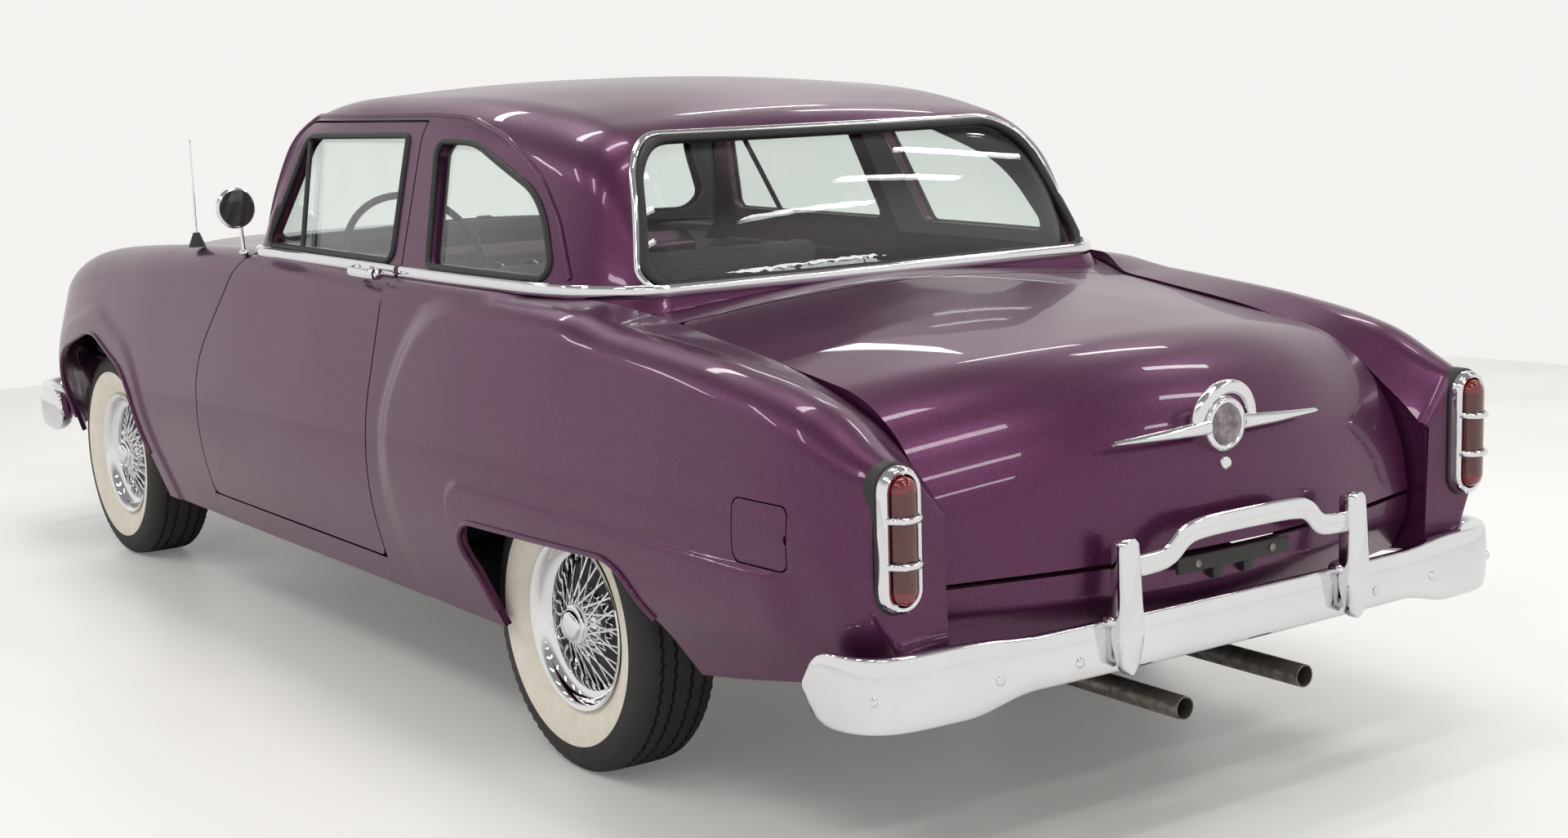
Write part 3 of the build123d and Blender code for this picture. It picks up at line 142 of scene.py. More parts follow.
BELT_Z = 1124
# Raised skirt round the rear wheel opening: its crease, front line, corner and height over the panel
CREASE_Z = 662
CREASE_HALF = 12
SKIRT_FRONT = (-965, 605)
SKIRT_LEAN = (0.22, 0.975)
SKIRT_CORNER = 90
SKIRT_RAISE = 18
# Flange round the front wheel opening
FLANGE_RAISE = 8
FLANGE_SPAN = (92, 70)
# Length over which the rear fender's bulge grows out of the panel
LEAD_SPAN = 95
# Walls of the skins
FENDER_WALL = 16
ROCKER_WALL = 40
QUARTER_WALL = 20
FLAP_WALL = 8
DOOR_WALL = 70
HOUSE_WALL = 30
LINING = (31, 37)
LID_WALL = 22
FLANK_WALL = 4
TAIL_WALL = 16


def smoothstep(a, b, v):
    t = min(max((v - a) / (b - a), 0.0), 1.0)
    return t * t * (3 - 2 * t)


def spaced(a, b, step):
    n = max(2, round(abs(b - a) / step))
    return [a + (b - a) * k / n for k in range(n + 1)]


def both_sides(points):
    return points + [(x, -y) for x, y in points[::-1]]


def smooth_row(rows, at):
    """Row of a station table at any first column value, by cubic interpolation of every column."""
    rows = sorted(rows)
    at = min(max(at, rows[0][0]), rows[-1][0])
    last = len(rows) - 1
    i = max(k for k in range(last) if rows[k][0] <= at)
    h = rows[i + 1][0] - rows[i][0]
    t = (at - rows[i][0]) / h

    def slope(k, c):
        lo, hi = max(k - 1, 0), min(k + 1, last)
        return (rows[hi][c] - rows[lo][c]) / (rows[hi][0] - rows[lo][0])

    values = [
        (2 * t**3 - 3 * t**2 + 1) * rows[i][c]
        + (t**3 - 2 * t**2 + t) * h * slope(i, c)
        + (3 * t**2 - 2 * t**3) * rows[i + 1][c]
        + (t**3 - t**2) * h * slope(i + 1, c)
        for c in range(1, len(rows[0]))
    ]
    return type(rows[0])(at, *values)


def rounded(points, radii, closed, lines=1, arcs=8):
    """Points along a polyline with rounded corners, with fixed counts on its lines and arcs."""
    pts = [Vector(p) for p in points]
    n = len(pts)
    stretches = []
    for i, p in enumerate(pts):
        ends = not closed and i in (0, n - 1)
        r = 0 if ends else radii[i]
        if r <= 0:
            stretches.append([p])
            continue
        a = (pts[i - 1] - p).normalized()
        b = (pts[(i + 1) % n] - p).normalized()
        half = a.angle(b) / 2
        reach = r / math.tan(half)
        centre = p + (a + b).normalized() * (r / math.sin(half))
        start, end = p + a * reach - centre, p + b * reach - centre
        turn = math.pi - 2 * half
        sign = 1 if start.x * end.y - start.y * end.x > 0 else -1
        arc = []
        for k in range(arcs + 1):
            t = sign * turn * k / arcs
            arc.append(centre + Matrix.Rotation(t, 2) @ start)
        stretches.append(arc)
    out = []
    count = n if closed else n - 1
    for i in range(n):
        out.extend(stretches[i])
        if i < count:
            a, b = stretches[i][-1], stretches[(i + 1) % n][0]
            out.extend(a.lerp(b, k / lines) for k in range(1, lines))
    return out


def resampled(points, step, closed=False):
    """Points spaced evenly along a polyline."""
    pts = [p.copy() for p in points] + ([points[0].copy()] if closed else [])
    lengths = [0.0]
    for a, b in zip(pts, pts[1:]):
        lengths.append(lengths[-1] + (b - a).length)
    n = max(2, round(lengths[-1] / step))
    out, k = [], 0
    for i in range(n + (0 if closed else 1)):
        d = lengths[-1] * i / n
        while k < len(pts) - 2 and lengths[k + 1] < d:
            k += 1
        span = lengths[k + 1] - lengths[k]
        out.append(pts[k].lerp(pts[k + 1], (d - lengths[k]) / span if span else 0))
    return out


def smoothed(points, turns=4):
    """Corner cutting that turns a polyline into a smooth one and keeps its ends."""
    for _ in range(turns):
        new = [points[0]]
        for a, b in zip(points, points[1:]):
            new += [a.lerp(b, 0.25), a.lerp(b, 0.75)]
        points = new + [points[-1]]
    return points


def inset_path(points, wall):
    path = [Vector(p) for p in points]
    normals = [Vector((-(b - a).y, (b - a).x)).normalized() for a, b in zip(path, path[1:])]
    shifted = [path[0] + normals[0] * wall]
    for here, before, after in zip(path[1:-1], normals, normals[1:]):
        shifted.append(here + (before + after) * (wall / (1 + before.dot(after))))
    return shifted + [path[-1] + normals[-1] * wall]


def grown(points, gap):
    """An outline with every side moved out by a gap, keeping the order of its corners."""
    loop = list(points) + [points[0], points[1]]
    area = sum(a[0] * b[1] - b[0] * a[1] for a, b in zip(loop, loop[1:-1]))
    shifted = inset_path(loop, -gap if area > 0 else gap)[1:-1]
    return shifted[-1:] + shifted[:-1]


def side_section(s, lines=12, arcs=24):
    """Outer path of one side section from the inner top edge down to the sill."""
    points = [(s.top_y, s.top_z), (s.crest_y, s.crest_z), (s.wide_y, s.wide_z), (s.sill_y, s.sill_z)]
    return rounded(points, [0, s.crest_r, s.wide_r, 0], False, lines, arcs)


def side_rows(table, stations):
    return [[Vector((x, p.x, p.y)) for p in side_section(smooth_row(table, x))] for x in stations]


def fender_rows():
    """Front fender from the door post to its rounded nose, with a raised flange round the wheel opening."""
    rim = rounded(FRONT_ARCH, FRONT_ARCH_CORNERS, False, 16, 12)
    near = KDTree(len(rim))
    for i, p in enumerate(rim):
        near.insert((p.x, 0, p.y), i)
    near.balance()
    rows = side_rows(SIDE, spaced(436, 960, 20) + spaced(960, 2300, 11)[1:] + spaced(2300, 2470, 8)[1:])
    for row in rows:
        for p in row:
            p.y += FLANGE_RAISE * smoothstep(*FLANGE_SPAN, near.find((p.x, 0, p.z))[2])
    last = rows[-1]
    centre = Vector((0, 570, 690))
    for k in range(1, 9):
        a = math.pi / 2 * k / 8
        draw = 0.16 * (1 - math.cos(a))
        rows.append([Vector((p.x + 34 * math.sin(a), *p.yz.lerp(centre.yz, draw))) for p in last])
    rim = rows[-1]
    for k in range(1, 6):
        rows.append([Vector((p.x + 3 * k / 5, *p.yz.lerp(centre.yz, k / 5.001))) for p in rim])
    return rows


def flare(x, z):
    """Share of the raised skirt round the rear wheel opening, under a crease and behind a front line."""
    below = CREASE_Z - z
    behind = SKIRT_LEAN[0] * (z - SKIRT_FRONT[1]) - SKIRT_LEAN[1] * (x - SKIRT_FRONT[0])
    inside = min(below, behind)
    if below < SKIRT_CORNER and behind < SKIRT_CORNER:
        inside = SKIRT_CORNER - math.hypot(SKIRT_CORNER - below, SKIRT_CORNER - behind)
    fade = smoothstep(-2400, -2260, x) * smoothstep(430, 540, z)
    return smoothstep(-CREASE_HALF, CREASE_HALF, inside) * fade


def quarter_rows():
    """Rear quarter from the door post to its closed tail, as one skin with the fender's bulge blended in."""
    rows = []
    for x in spaced(-486, -1150, 10) + spaced(-1150, -2300, 18)[1:] + spaced(-2300, -2514, 9)[1:]:
        swell = side_section(smooth_row(QUARTER, x), 14, 84)
        flat = side_section(smooth_row(SIDE, x)._replace(top_y=826, top_z=1108, crest_r=55), 14, 84)
        row = []
        for a, b in zip(flat, swell):
            p = a.lerp(b, smoothstep(0, LEAD_SPAN, smooth_row(LEAD, b.y).x - x))
            row.append(Vector((x, p.x + SKIRT_RAISE * flare(x, b.y), p.y)))
        rows.append(row)
    last = rows[-1]
    middle = Vector((0, 800, 680))
    round_r = 17
    for k in range(1, 7):
        a = math.pi / 2 * k / 6
        back, draw = round_r * math.sin(a), round_r * (1 - math.cos(a))
        rows.append([Vector((p.x - back, *(p.yz + (middle.yz - p.yz).normalized() * draw))) for p in last])
    rim = rows[-1]
    corner = Vector((0, 704, 478))
    for k in range(1, 8):
        rows.append([Vector((p.x, *p.yz.lerp(corner.yz, k / 7.001))) for p in rim])
    return rows


def flank_rows():
    """Inner face of the fender's tail, beside the luggage lid."""
    rows = []
    for x in spaced(-2120, -2527, 14):
        r = smooth_row(QUARTER, x)
        top, foot = Vector((r.top_y + 4, r.top_z - 5)), Vector((707, 480))
        rows.append([Vector((x, *top.lerp(foot, k / 6))) for k in range(7)])
    return rows


def house_section(a, inset):
    foot, corner = a.foot_y - inset, a.corner_y - inset * 0.8
    drop = inset if a.crown_z - ARCH_FOOT_Z > 2 * inset else 0.5 * (a.crown_z - ARCH_FOOT_Z)
    corner_z, crown_z = a.corner_z - drop, a.crown_z - drop
    half = [(foot, ARCH_FOOT_Z), (corner, corner_z)]
    points = half + [(0, crown_z)] + [(-y, z) for y, z in half[::-1]]
    crown_r = 0.6 * corner**2 / (crown_z - corner_z)
    return rounded(points, [0, a.corner_r, crown_r, a.corner_r, 0], False, 14, 14)


def house_rows(inset=0):
    xs = spaced(690, 300, 9) + spaced(300, -1000, 24)[1:] + spaced(-1000, -1480, 9)[1:]
    return [[Vector((x, p.x, p.y)) for p in house_section(smooth_row(ARCHES, x), inset)] for x in xs]


def lid_rows(table, front_x, ys):
    rows = []
    both = [r._replace(y=-r.y) for r in table[:0:-1]] + table
    for y in ys:
        r = smooth_row(both, y)
        path = [(front_x, r.front_z), (r.knee_x, r.knee_z), (r.low_x, r.low_z)]
        rows.append([Vector((p.x, y, p.y)) for p in rounded(path, [0, r.knee_r, 0], False, 34, 26)])
    return rows


def tail_rows():
    """Panel under the luggage lid, following the lid's low edge."""
    rows = []
    both = [r._replace(y=-r.y) for r in DECK[:0:-1]] + DECK
    for y in spaced(-694, 694, 20):
        r = smooth_row(both, y / 0.988)
        path = [(r.low_x, 617), (r.low_x + 6, 560), (r.low_x + 45, 484)]
        rows.append([Vector((p.x, y, p.y)) for p in rounded(path, [0, 60, 0], False, 6, 8)])
    return rows


def grid(rows):
    """Open skin of faces through rows of points in millimetres."""
    bm = bmesh.new()
    nu, nv = len(rows) - 1, len(rows[0]) - 1
    bmesh.ops.create_grid(bm, x_segments=nu, y_segments=nv, size=1)
    for v in bm.verts:
        i, j = round((v.co.x + 1) / 2 * nu), round((v.co.y + 1) / 2 * nv)
        v.co = rows[i][j] * MM
    return bm


def skin(rows):
    """Open skin whose faces look away from the car's middle."""
    bm = grid(rows)
    bmesh.ops.remove_doubles(bm, verts=bm.verts, dist=1e-5)
    bm.normal_update()
    mid = sum(r[len(r) // 2].x for r in rows) / len(rows) * MM
    centre = Vector((mid, 0, 0.62))
    facing = sum(f.normal.dot(f.calc_center_median() - centre) * f.calc_area() for f in bm.faces)
    if facing < 0:
        bmesh.ops.reverse_faces(bm, faces=bm.faces)
    return bm


def solid_rows(rows):
    """Closed skin through rings of points in millimetres whose ends are capped."""
    bm = grid(rows)
    bmesh.ops.remove_doubles(bm, verts=bm.verts, dist=2e-6)
    bmesh.ops.holes_fill(bm, edges=[e for e in bm.edges if e.is_boundary], sides=0)
    bmesh.ops.recalc_face_normals(bm, faces=bm.faces)
    return bm


def closed_house(inset):
    """The greenhouse as a closed block, for cutting."""
    return solid_rows([row + row[:1] for row in house_rows(inset)])


def prism(points, radii, axis, low, high):
    """Closed prism of an outline: axis Y takes (x, z), X takes (y, z) and Z takes (x, y)."""
    put = {
        "X": lambda p, d: (d, p.x, p.y),
        "Y": lambda p, d: (p.x, d, p.y),
        "Z": lambda p, d: (p.x, p.y, d),
    }[axis]
    bm = bmesh.new()
    face = bm.faces.new([bm.verts.new(Vector(put(p, low)) * MM) for p in rounded(points, radii, True, 1, 12)])
    far = bmesh.ops.extrude_face_region(bm, geom=[face])
    shift = Vector(put(Vector((0, 0)), high - low)) * MM
    bmesh.ops.translate(bm, vec=shift, verts=[g for g in far["geom"] if isinstance(g, bmesh.types.BMVert)])
    bmesh.ops.recalc_face_normals(bm, faces=bm.faces)
    return bm


def block(x, y, z, bevel=0, segments=3):
    """Box between limits in millimetres with rounded edges."""
    bm = bmesh.new()
    size = Vector((x[1] - x[0], y[1] - y[0], z[1] - z[0])) * MM
    centre = Vector((x[0] + x[1], y[0] + y[1], z[0] + z[1])) * MM / 2
    bmesh.ops.create_cube(bm, size=1, matrix=Matrix.Translation(centre) @ Matrix.Diagonal((*size, 1)))
    if bevel:
        bmesh.ops.bevel(bm, geom=bm.edges[:], offset=bevel * MM, segments=segments, profile=0.5,
                        affect="EDGES", material=-1)
    return bm


def ball(centre, half):
    """Ellipsoid about a centre with three half sizes, in millimetres."""
    bm = bmesh.new()
    matrix = Matrix.Translation(Vector(centre) * MM) @ Matrix.Diagonal((*(Vector(half) * MM), 1))
    bmesh.ops.create_uvsphere(bm, u_segments=24, v_segments=12, radius=1, matrix=matrix)
    return bm


def rod(a, b, radius, sides=8, tip=None):
    """Round bar between two points in millimetres."""
    bm = bmesh.new()
    a, b = Vector(a) * MM, Vector(b) * MM
    turn = (b - a).to_track_quat("Z", "Y").to_matrix().to_4x4()
    place = Matrix.Translation((a + b) / 2) @ turn
    bmesh.ops.create_cone(bm, cap_ends=True, segments=sides, radius1=radius * MM,
                          radius2=(tip or radius) * MM, depth=(b - a).length, matrix=place)
    return bm


def spun(profile, steps=96, close=True):
    """Body of revolution about the Y axis from a profile of (offset, radius) in millimetres."""
    bm = bmesh.new()
    verts = [bm.verts.new((0, w * MM, r * MM)) for w, r in profile]
    edges = [bm.edges.new((a, b)) for a, b in zip(verts, verts[1:] + (verts[:1] if close else []))]
    bmesh.ops.spin(bm, geom=verts + edges, cent=(0, 0, 0), axis=(0, 1, 0), angle=2 * math.pi, steps=steps,
                   use_merge=True)
    bmesh.ops.remove_doubles(bm, verts=bm.verts, dist=1e-6)
    bmesh.ops.recalc_face_normals(bm, faces=bm.faces)
    return bm


def turned(profile, x, y, z, out, steps=48):
    """Body of revolution about an axis along X through a point, its profile running out to one side."""
    bm = spun(profile, steps, False)
    bmesh.ops.transform(bm, matrix=Matrix.Rotation(math.radians(-90 * out), 4, "Z"), verts=bm.verts)
    bmesh.ops.translate(bm, vec=Vector((x, y, z)) * MM, verts=bm.verts)
    return bm


def swept(path, section, up=UP, closed=False):
    """Solid that carries a closed section of (outward, upward) points along a path."""
    n = len(path)
    rows = []
    for i, p in enumerate(path):
        a = path[i - 1] if closed or i else path[i]
        b = path[(i + 1) % n] if closed or i < n - 1 else path[i]
        ahead = (b - a).normalized()
        out = ahead.cross(up).normalized()
        lift = out.cross(ahead)
        ring = section(i / (n - 1))
        rows.append([p + out * o + lift * u for o, u in ring + ring[:1]])
    if closed:
        rows.append(rows[0])
    return solid_rows(rows)


def oval(half_out, half_up, count=16, power=2.0):
    ring = []
    for k in range(count):
        c, s = math.cos(2 * math.pi * k / count), math.sin(2 * math.pi * k / count)
        out, up = (math.copysign(abs(v) ** (2 / power), v) for v in (c, s))
        ring.append((half_out * out, half_up * up))
    return lambda t: ring


def flip_y(bm):
    bmesh.ops.transform(bm, matrix=Matrix.Scale(-1, 4, (0, 1, 0)), verts=bm.verts)
    bmesh.ops.reverse_faces(bm, faces=bm.faces)
    return bm


def moved(bm, x, y, z, flip=False):
    if flip:
        flip_y(bm)
    bmesh.ops.translate(bm, vec=Vector((x, y, z)) * MM, verts=bm.verts)
    return bm


def joined(*parts):
    """One mesh of several."""
    whole = bmesh.new()
    for part in parts:
        mesh = bpy.data.meshes.new("part")
        part.to_mesh(mesh)
        part.free()
        whole.from_mesh(mesh)
        bpy.data.meshes.remove(mesh)
    return whole


def to_object(name, bm):
    mesh = bpy.data.meshes.new(name)
    bm.to_mesh(mesh)
    bm.free()
    obj = bpy.data.objects.new(name, mesh)
    bpy.context.scene.collection.objects.link(obj)
    return obj


def baked(obj, helpers=()):
    """Applies an object's modifiers and removes the helpers they used."""
    mesh = bpy.data.meshes.new_from_object(obj.evaluated_get(bpy.context.evaluated_depsgraph_get()))
    obj.modifiers.clear()
    obj.data = mesh
    for helper in helpers:
        bpy.data.objects.remove(helper)
    return obj


def mesh_of(obj):
    """The object's mesh for editing, with the object removed."""
    bm = bmesh.new()
    bm.from_mesh(obj.data)
    bpy.data.objects.remove(obj)
    return bm


def carved(bm, cuts=(), keeps=()):
    """Closed block kept inside some bodies and cut by others."""
    obj = to_object("block", bm)
    helpers = []
    for bodies, operation in ((keeps, "INTERSECT"), (cuts, "DIFFERENCE")):
        for body in bodies:
            helper = to_object("cut", body)
            helpers.append(helper)
            mod = obj.modifiers.new("cut", "BOOLEAN")
            mod.operation = operation
            mod.object = helper
            mod.solver = "EXACT"
    bm = mesh_of(baked(obj, helpers))
    if not bm.faces:
        raise RuntimeError("a cut left nothing")
    return bm


def sheet(bm, wall, cuts=(), keeps=()):
    """Skin with a wall inside it, kept inside some bodies and cut by others."""
    obj = to_object("sheet", bm)
    solid = obj.modifiers.new("wall", "SOLIDIFY")
    solid.thickness = wall * MM
    solid.offset = -1
    solid.use_even_offset = True
    thick = mesh_of(baked(obj))
    bmesh.ops.recalc_face_normals(thick, faces=thick.faces)
    return carved(thick, cuts, keeps)


def skin_tree(rows):
    """Search tree of a skin, for laying outlines on it."""
    bm = skin(rows)
    tree = BVHTree.FromBMesh(bm)
    bm.free()
    return tree


def laid(tree, outline, axis, sign):
    """An outline laid on a surface: axis Y takes (x, z) and X takes (y, z)."""
    found = []
    for p in outline:
        if axis == "Y":
            start, ray = Vector((p.x * MM, sign * 1.5, p.y * MM)), Vector((0, -sign, 0))
        else:
            start, ray = Vector((sign * 3.0, p.x * MM, p.y * MM)), Vector((-sign, 0, 0))
        hit = tree.ray_cast(start, ray)[0]
        if hit is None:
            raise RuntimeError("an outline misses the surface it lies on")
        found.append(hit / MM)
    return found


def piece(name, bm, body, finish, replaced=(), angle=38):
    """Finished piece with smooth faces, its material and body; the solids it stands for are hidden."""
    obj = to_object(name, bm)
    for p in obj.data.polygons:
        p.use_smooth = True
    obj.data.set_sharp_from_angle(angle=math.radians(angle))
    obj.data.materials.append(material_for(finish))
    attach(obj, body)
    if replaced:
        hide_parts(*replaced)
    return obj


def copied(bm):
    return flip_y(bm.copy())


def node_group(name, inputs, outputs):
    """New shader group with its sockets, and its input and output nodes."""
    tree = bpy.data.node_groups.new(name, "ShaderNodeTree")
    for label, kind in inputs:
        tree.interface.new_socket(label, in_out="INPUT", socket_type="NodeSocket" + kind)
    for label, kind in outputs:
        tree.interface.new_socket(label, in_out="OUTPUT", socket_type="NodeSocket" + kind)
    return tree, tree.nodes.new("NodeGroupInput"), tree.nodes.new("NodeGroupOutput")


def blend_node(tree, factor, a, b):
    """Colour mix of two sockets by a factor."""
    mix = tree.nodes.new("ShaderNodeMix")
    mix.data_type = "RGBA"
    tree.links.new(factor, mix.inputs["Factor"])
    tree.links.new(a, mix.inputs["A"])
    tree.links.new(b, mix.inputs["B"])
    return mix.outputs["Result"]


def ranged(tree, value, low, high, to_low, to_high):
    """Value mapped from one span to another, whose ends are numbers or sockets."""
    node = tree.nodes.new("ShaderNodeMapRange")
    tree.links.new(value, node.inputs["Value"])
    for label, end in (("From Min", low), ("From Max", high), ("To Min", to_low), ("To Max", to_high)):
        if isinstance(end, (int, float)):
            node.inputs[label].default_value = end
        else:
            tree.links.new(end, node.inputs[label])
    return node.outputs["Result"]


TONES = [("Color", "Color"), ("Second Color", "Color"), ("Scale", "Float"), ("Low Roughness", "Float"),
         ("High Roughness", "Float")]
RESULTS = [("Color", "Color"), ("Roughness", "Float"), ("Height", "Float")]


def send_results(tree, ins, outs, share, rough_span, height):
    """Group outputs: the two colours mixed by a share, roughness over a span of a value, and a height."""
    color = blend_node(tree, share, ins.outputs["Color"], ins.outputs["Second Color"])
    tree.links.new(color, outs.inputs["Color"])
    rough = ranged(tree, *rough_span, ins.outputs["Low Roughness"], ins.outputs["High Roughness"])
    tree.links.new(rough, outs.inputs["Roughness"])
    tree.links.new(height, outs.inputs["Height"])
    return tree


def grain_group():
    """Fine mottling of colour and roughness with a matching height."""
    tree, ins, outs = node_group("Fine grain", TONES, RESULTS)
    place = tree.nodes.new("ShaderNodeTexCoord").outputs["Object"]
    noise = tree.nodes.new("ShaderNodeTexNoise")
    noise.inputs["Detail"].default_value = 5
    tree.links.new(place, noise.inputs["Vector"])
    tree.links.new(ins.outputs["Scale"], noise.inputs["Scale"])
    value = noise.outputs["Fac"]
    share = ranged(tree, value, 0.35, 0.65, 0.0, 1.0)
    return send_results(tree, ins, outs, share, (value, 0.35, 0.65), value)


def flake_group():
    """Metal flakes in paint: small cells, some brighter, over a slow drift of tone."""
    tree, ins, outs = node_group("Metal flake", TONES, RESULTS)
    place = tree.nodes.new("ShaderNodeTexCoord").outputs["Object"]
    cells = tree.nodes.new("ShaderNodeTexVoronoi")
    tree.links.new(place, cells.inputs["Vector"])
    tree.links.new(ins.outputs["Scale"], cells.inputs["Scale"])
    split = tree.nodes.new("ShaderNodeSeparateColor")
    tree.links.new(cells.outputs["Color"], split.inputs["Color"])
    bright = ranged(tree, split.outputs["Red"], 0.55, 1.0, 0.0, 0.8)
    drift = tree.nodes.new("ShaderNodeTexNoise")
    drift.inputs["Scale"].default_value = 3
    tree.links.new(place, drift.inputs["Vector"])
    return send_results(tree, ins, outs, bright, (drift.outputs["Fac"], 0.3, 0.7), split.outputs["Green"])


def weave_group():
    """Woven cloth: two crossing sets of threads."""
    tree, ins, outs = node_group("Weave", TONES, RESULTS)
    place = tree.nodes.new("ShaderNodeTexCoord").outputs["Object"]
    threads = []
    for direction in ("X", "Z"):
        wave = tree.nodes.new("ShaderNodeTexWave")
        wave.bands_direction = direction
        wave.inputs["Distortion"].default_value = 0.6
        tree.links.new(place, wave.inputs["Vector"])
        tree.links.new(ins.outputs["Scale"], wave.inputs["Scale"])
        threads.append(wave.outputs["Fac"])
    both = tree.nodes.new("ShaderNodeMath")
    both.operation = "MULTIPLY"
    tree.links.new(threads[0], both.inputs[0])
    tree.links.new(threads[1], both.inputs[1])
    share = both.outputs["Value"]
    return send_results(tree, ins, outs, share, (share, 0.0, 1.0), share)


GROUPS = {"Fine grain": grain_group, "Metal flake": flake_group, "Weave": weave_group}
# Finish: group, colour, second colour, scale, low and high roughness, bump, fixed shader values
Finish = namedtuple("Finish", "group color second scale low high bump fixed", defaults=({},))
COATED = {"Coat Weight": 1.0, "Coat Roughness": 0.02}
CLEAR = {"Transmission Weight": 1.0, "IOR": 1.02, "Coat Weight": 1.0, "Coat Roughness": 0.0}
FINISHES = {
    "body_paint": Finish("Metal flake", (0.085, 0.014, 0.060), (0.17, 0.045, 0.14), 900, 0.30, 0.36, 0.0,
                         {"Metallic": 0.6, "Coat Weight": 0.38, "Coat Roughness": 0.02}),
    "chrome": Finish("Fine grain", (0.80, 0.80, 0.82), (0.77, 0.77, 0.79), 6, 0.025, 0.05, 0.0,
                     {"Metallic": 1.0}),
    "glass": Finish("Fine grain", (0.93, 0.97, 0.95), (0.90, 0.95, 0.93), 4, 0.0, 0.012, 0.0, CLEAR),
    "mirror_glass": Finish("Fine grain", (0.05, 0.05, 0.055), (0.035, 0.035, 0.04), 20, 0.03, 0.08, 0.0,
                           COATED),
    "underbody": Finish("Fine grain", (0.022, 0.021, 0.022), (0.045, 0.042, 0.04), 40, 0.55, 0.8, 0.15),
    "frame_black": Finish("Fine grain", (0.012, 0.012, 0.013), (0.022, 0.021, 0.02), 60, 0.35, 0.55, 0.1),
    "tyre": Finish("Fine grain", (0.016, 0.015, 0.015), (0.032, 0.03, 0.028), 120, 0.55, 0.75, 0.12),
    "rubber": Finish("Fine grain", (0.010, 0.010, 0.010), (0.018, 0.018, 0.018), 90, 0.4, 0.55, 0.05),
    "whitewall": Finish("Fine grain", (0.92, 0.86, 0.75), (0.86, 0.79, 0.67), 25, 0.5, 0.65, 0.03),
    "engine_paint": Finish("Fine grain", (0.10, 0.11, 0.12), (0.07, 0.07, 0.08), 30, 0.4, 0.6, 0.08),
    "exhaust_steel": Finish("Fine grain", (0.30, 0.28, 0.26), (0.16, 0.13, 0.11), 45, 0.35, 0.6, 0.08,
                            {"Metallic": 0.85}),
    "red_lens": Finish("Fine grain", (0.22, 0.006, 0.008), (0.15, 0.004, 0.006), 60, 0.08, 0.16, 0.06,
                       COATED),
    "smoked_lens": Finish("Fine grain", (0.10, 0.004, 0.006), (0.07, 0.003, 0.004), 60, 0.08, 0.16, 0.06,
                          COATED),
    "clear_lens": Finish("Fine grain", (0.80, 0.82, 0.84), (0.70, 0.73, 0.76), 80, 0.04, 0.12, 0.08, COATED),
    "seat_cloth": Finish("Weave", (0.17, 0.165, 0.17), (0.27, 0.26, 0.265), 260, 0.8, 0.95, 0.2),
    "grey_trim": Finish("Weave", (0.22, 0.215, 0.22), (0.30, 0.295, 0.30), 180, 0.8, 0.92, 0.1),
    "dark_plastic": Finish("Fine grain", (0.014, 0.014, 0.015), (0.022, 0.021, 0.022), 50, 0.2, 0.32, 0.02),
    "medallion": Finish("Fine grain", (0.34, 0.30, 0.33), (0.18, 0.15, 0.18), 55, 0.2, 0.4, 0.2,
                        {"Metallic": 0.8}),
}
CHOSEN = {"body_paint": "paint", "whitewall": "whitewall", "seat_cloth": "cloth", "red_lens": "lens"}


def effect_material(name, group, tones):
    """New material whose shader takes colour and roughness from a shared effect group with given tones."""
    mat = bpy.data.materials.new(name)
    mat.use_nodes = True
    tree = mat.node_tree
    shader = tree.nodes["Principled BSDF"]
    effect = tree.nodes.new("ShaderNodeGroup")
    effect.node_tree = bpy.data.node_groups.get(group) or GROUPS[group]()
    for (label, _), value in zip(TONES, tones):
        effect.inputs[label].default_value = value
    tree.links.new(effect.outputs["Color"], shader.inputs["Base Color"])
    tree.links.new(effect.outputs["Roughness"], shader.inputs["Roughness"])
    return mat, shader, effect


def material_for(name):
    """Material of a finish, made once."""
    mat = bpy.data.materials.get("finish_" + name)
    if mat:
        return mat
    finish = FINISHES[name]
    color = finish.color
    if name in CHOSEN:
        color = getattr(bpy.context.scene.club_sedan, CHOSEN[name])
    tones = ((*color, 1), (*finish.second, 1), finish.scale, finish.low, finish.high)
    mat, shader, effect = effect_material("finish_" + name, finish.group, tones)
    tree = mat.node_tree
    if finish.bump:
        bump = tree.nodes.new("ShaderNodeBump")
        bump.inputs["Strength"].default_value = finish.bump
        bump.inputs["Distance"].default_value = 0.002
        tree.links.new(effect.outputs["Height"], bump.inputs["Height"])
        tree.links.new(bump.outputs["Normal"], shader.inputs["Normal"])
    for socket, value in finish.fixed.items():
        shader.inputs[socket].default_value = value
    return mat


def build_solids(settings):
    """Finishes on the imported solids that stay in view."""
    slots = {s["node"]: s["material_slot"] for s in frame["record"]["subparts"]}
    for name, obj in frame["nodes"].items():
        obj.data.materials.clear()
        obj.data.materials.append(material_for(slots[name]))


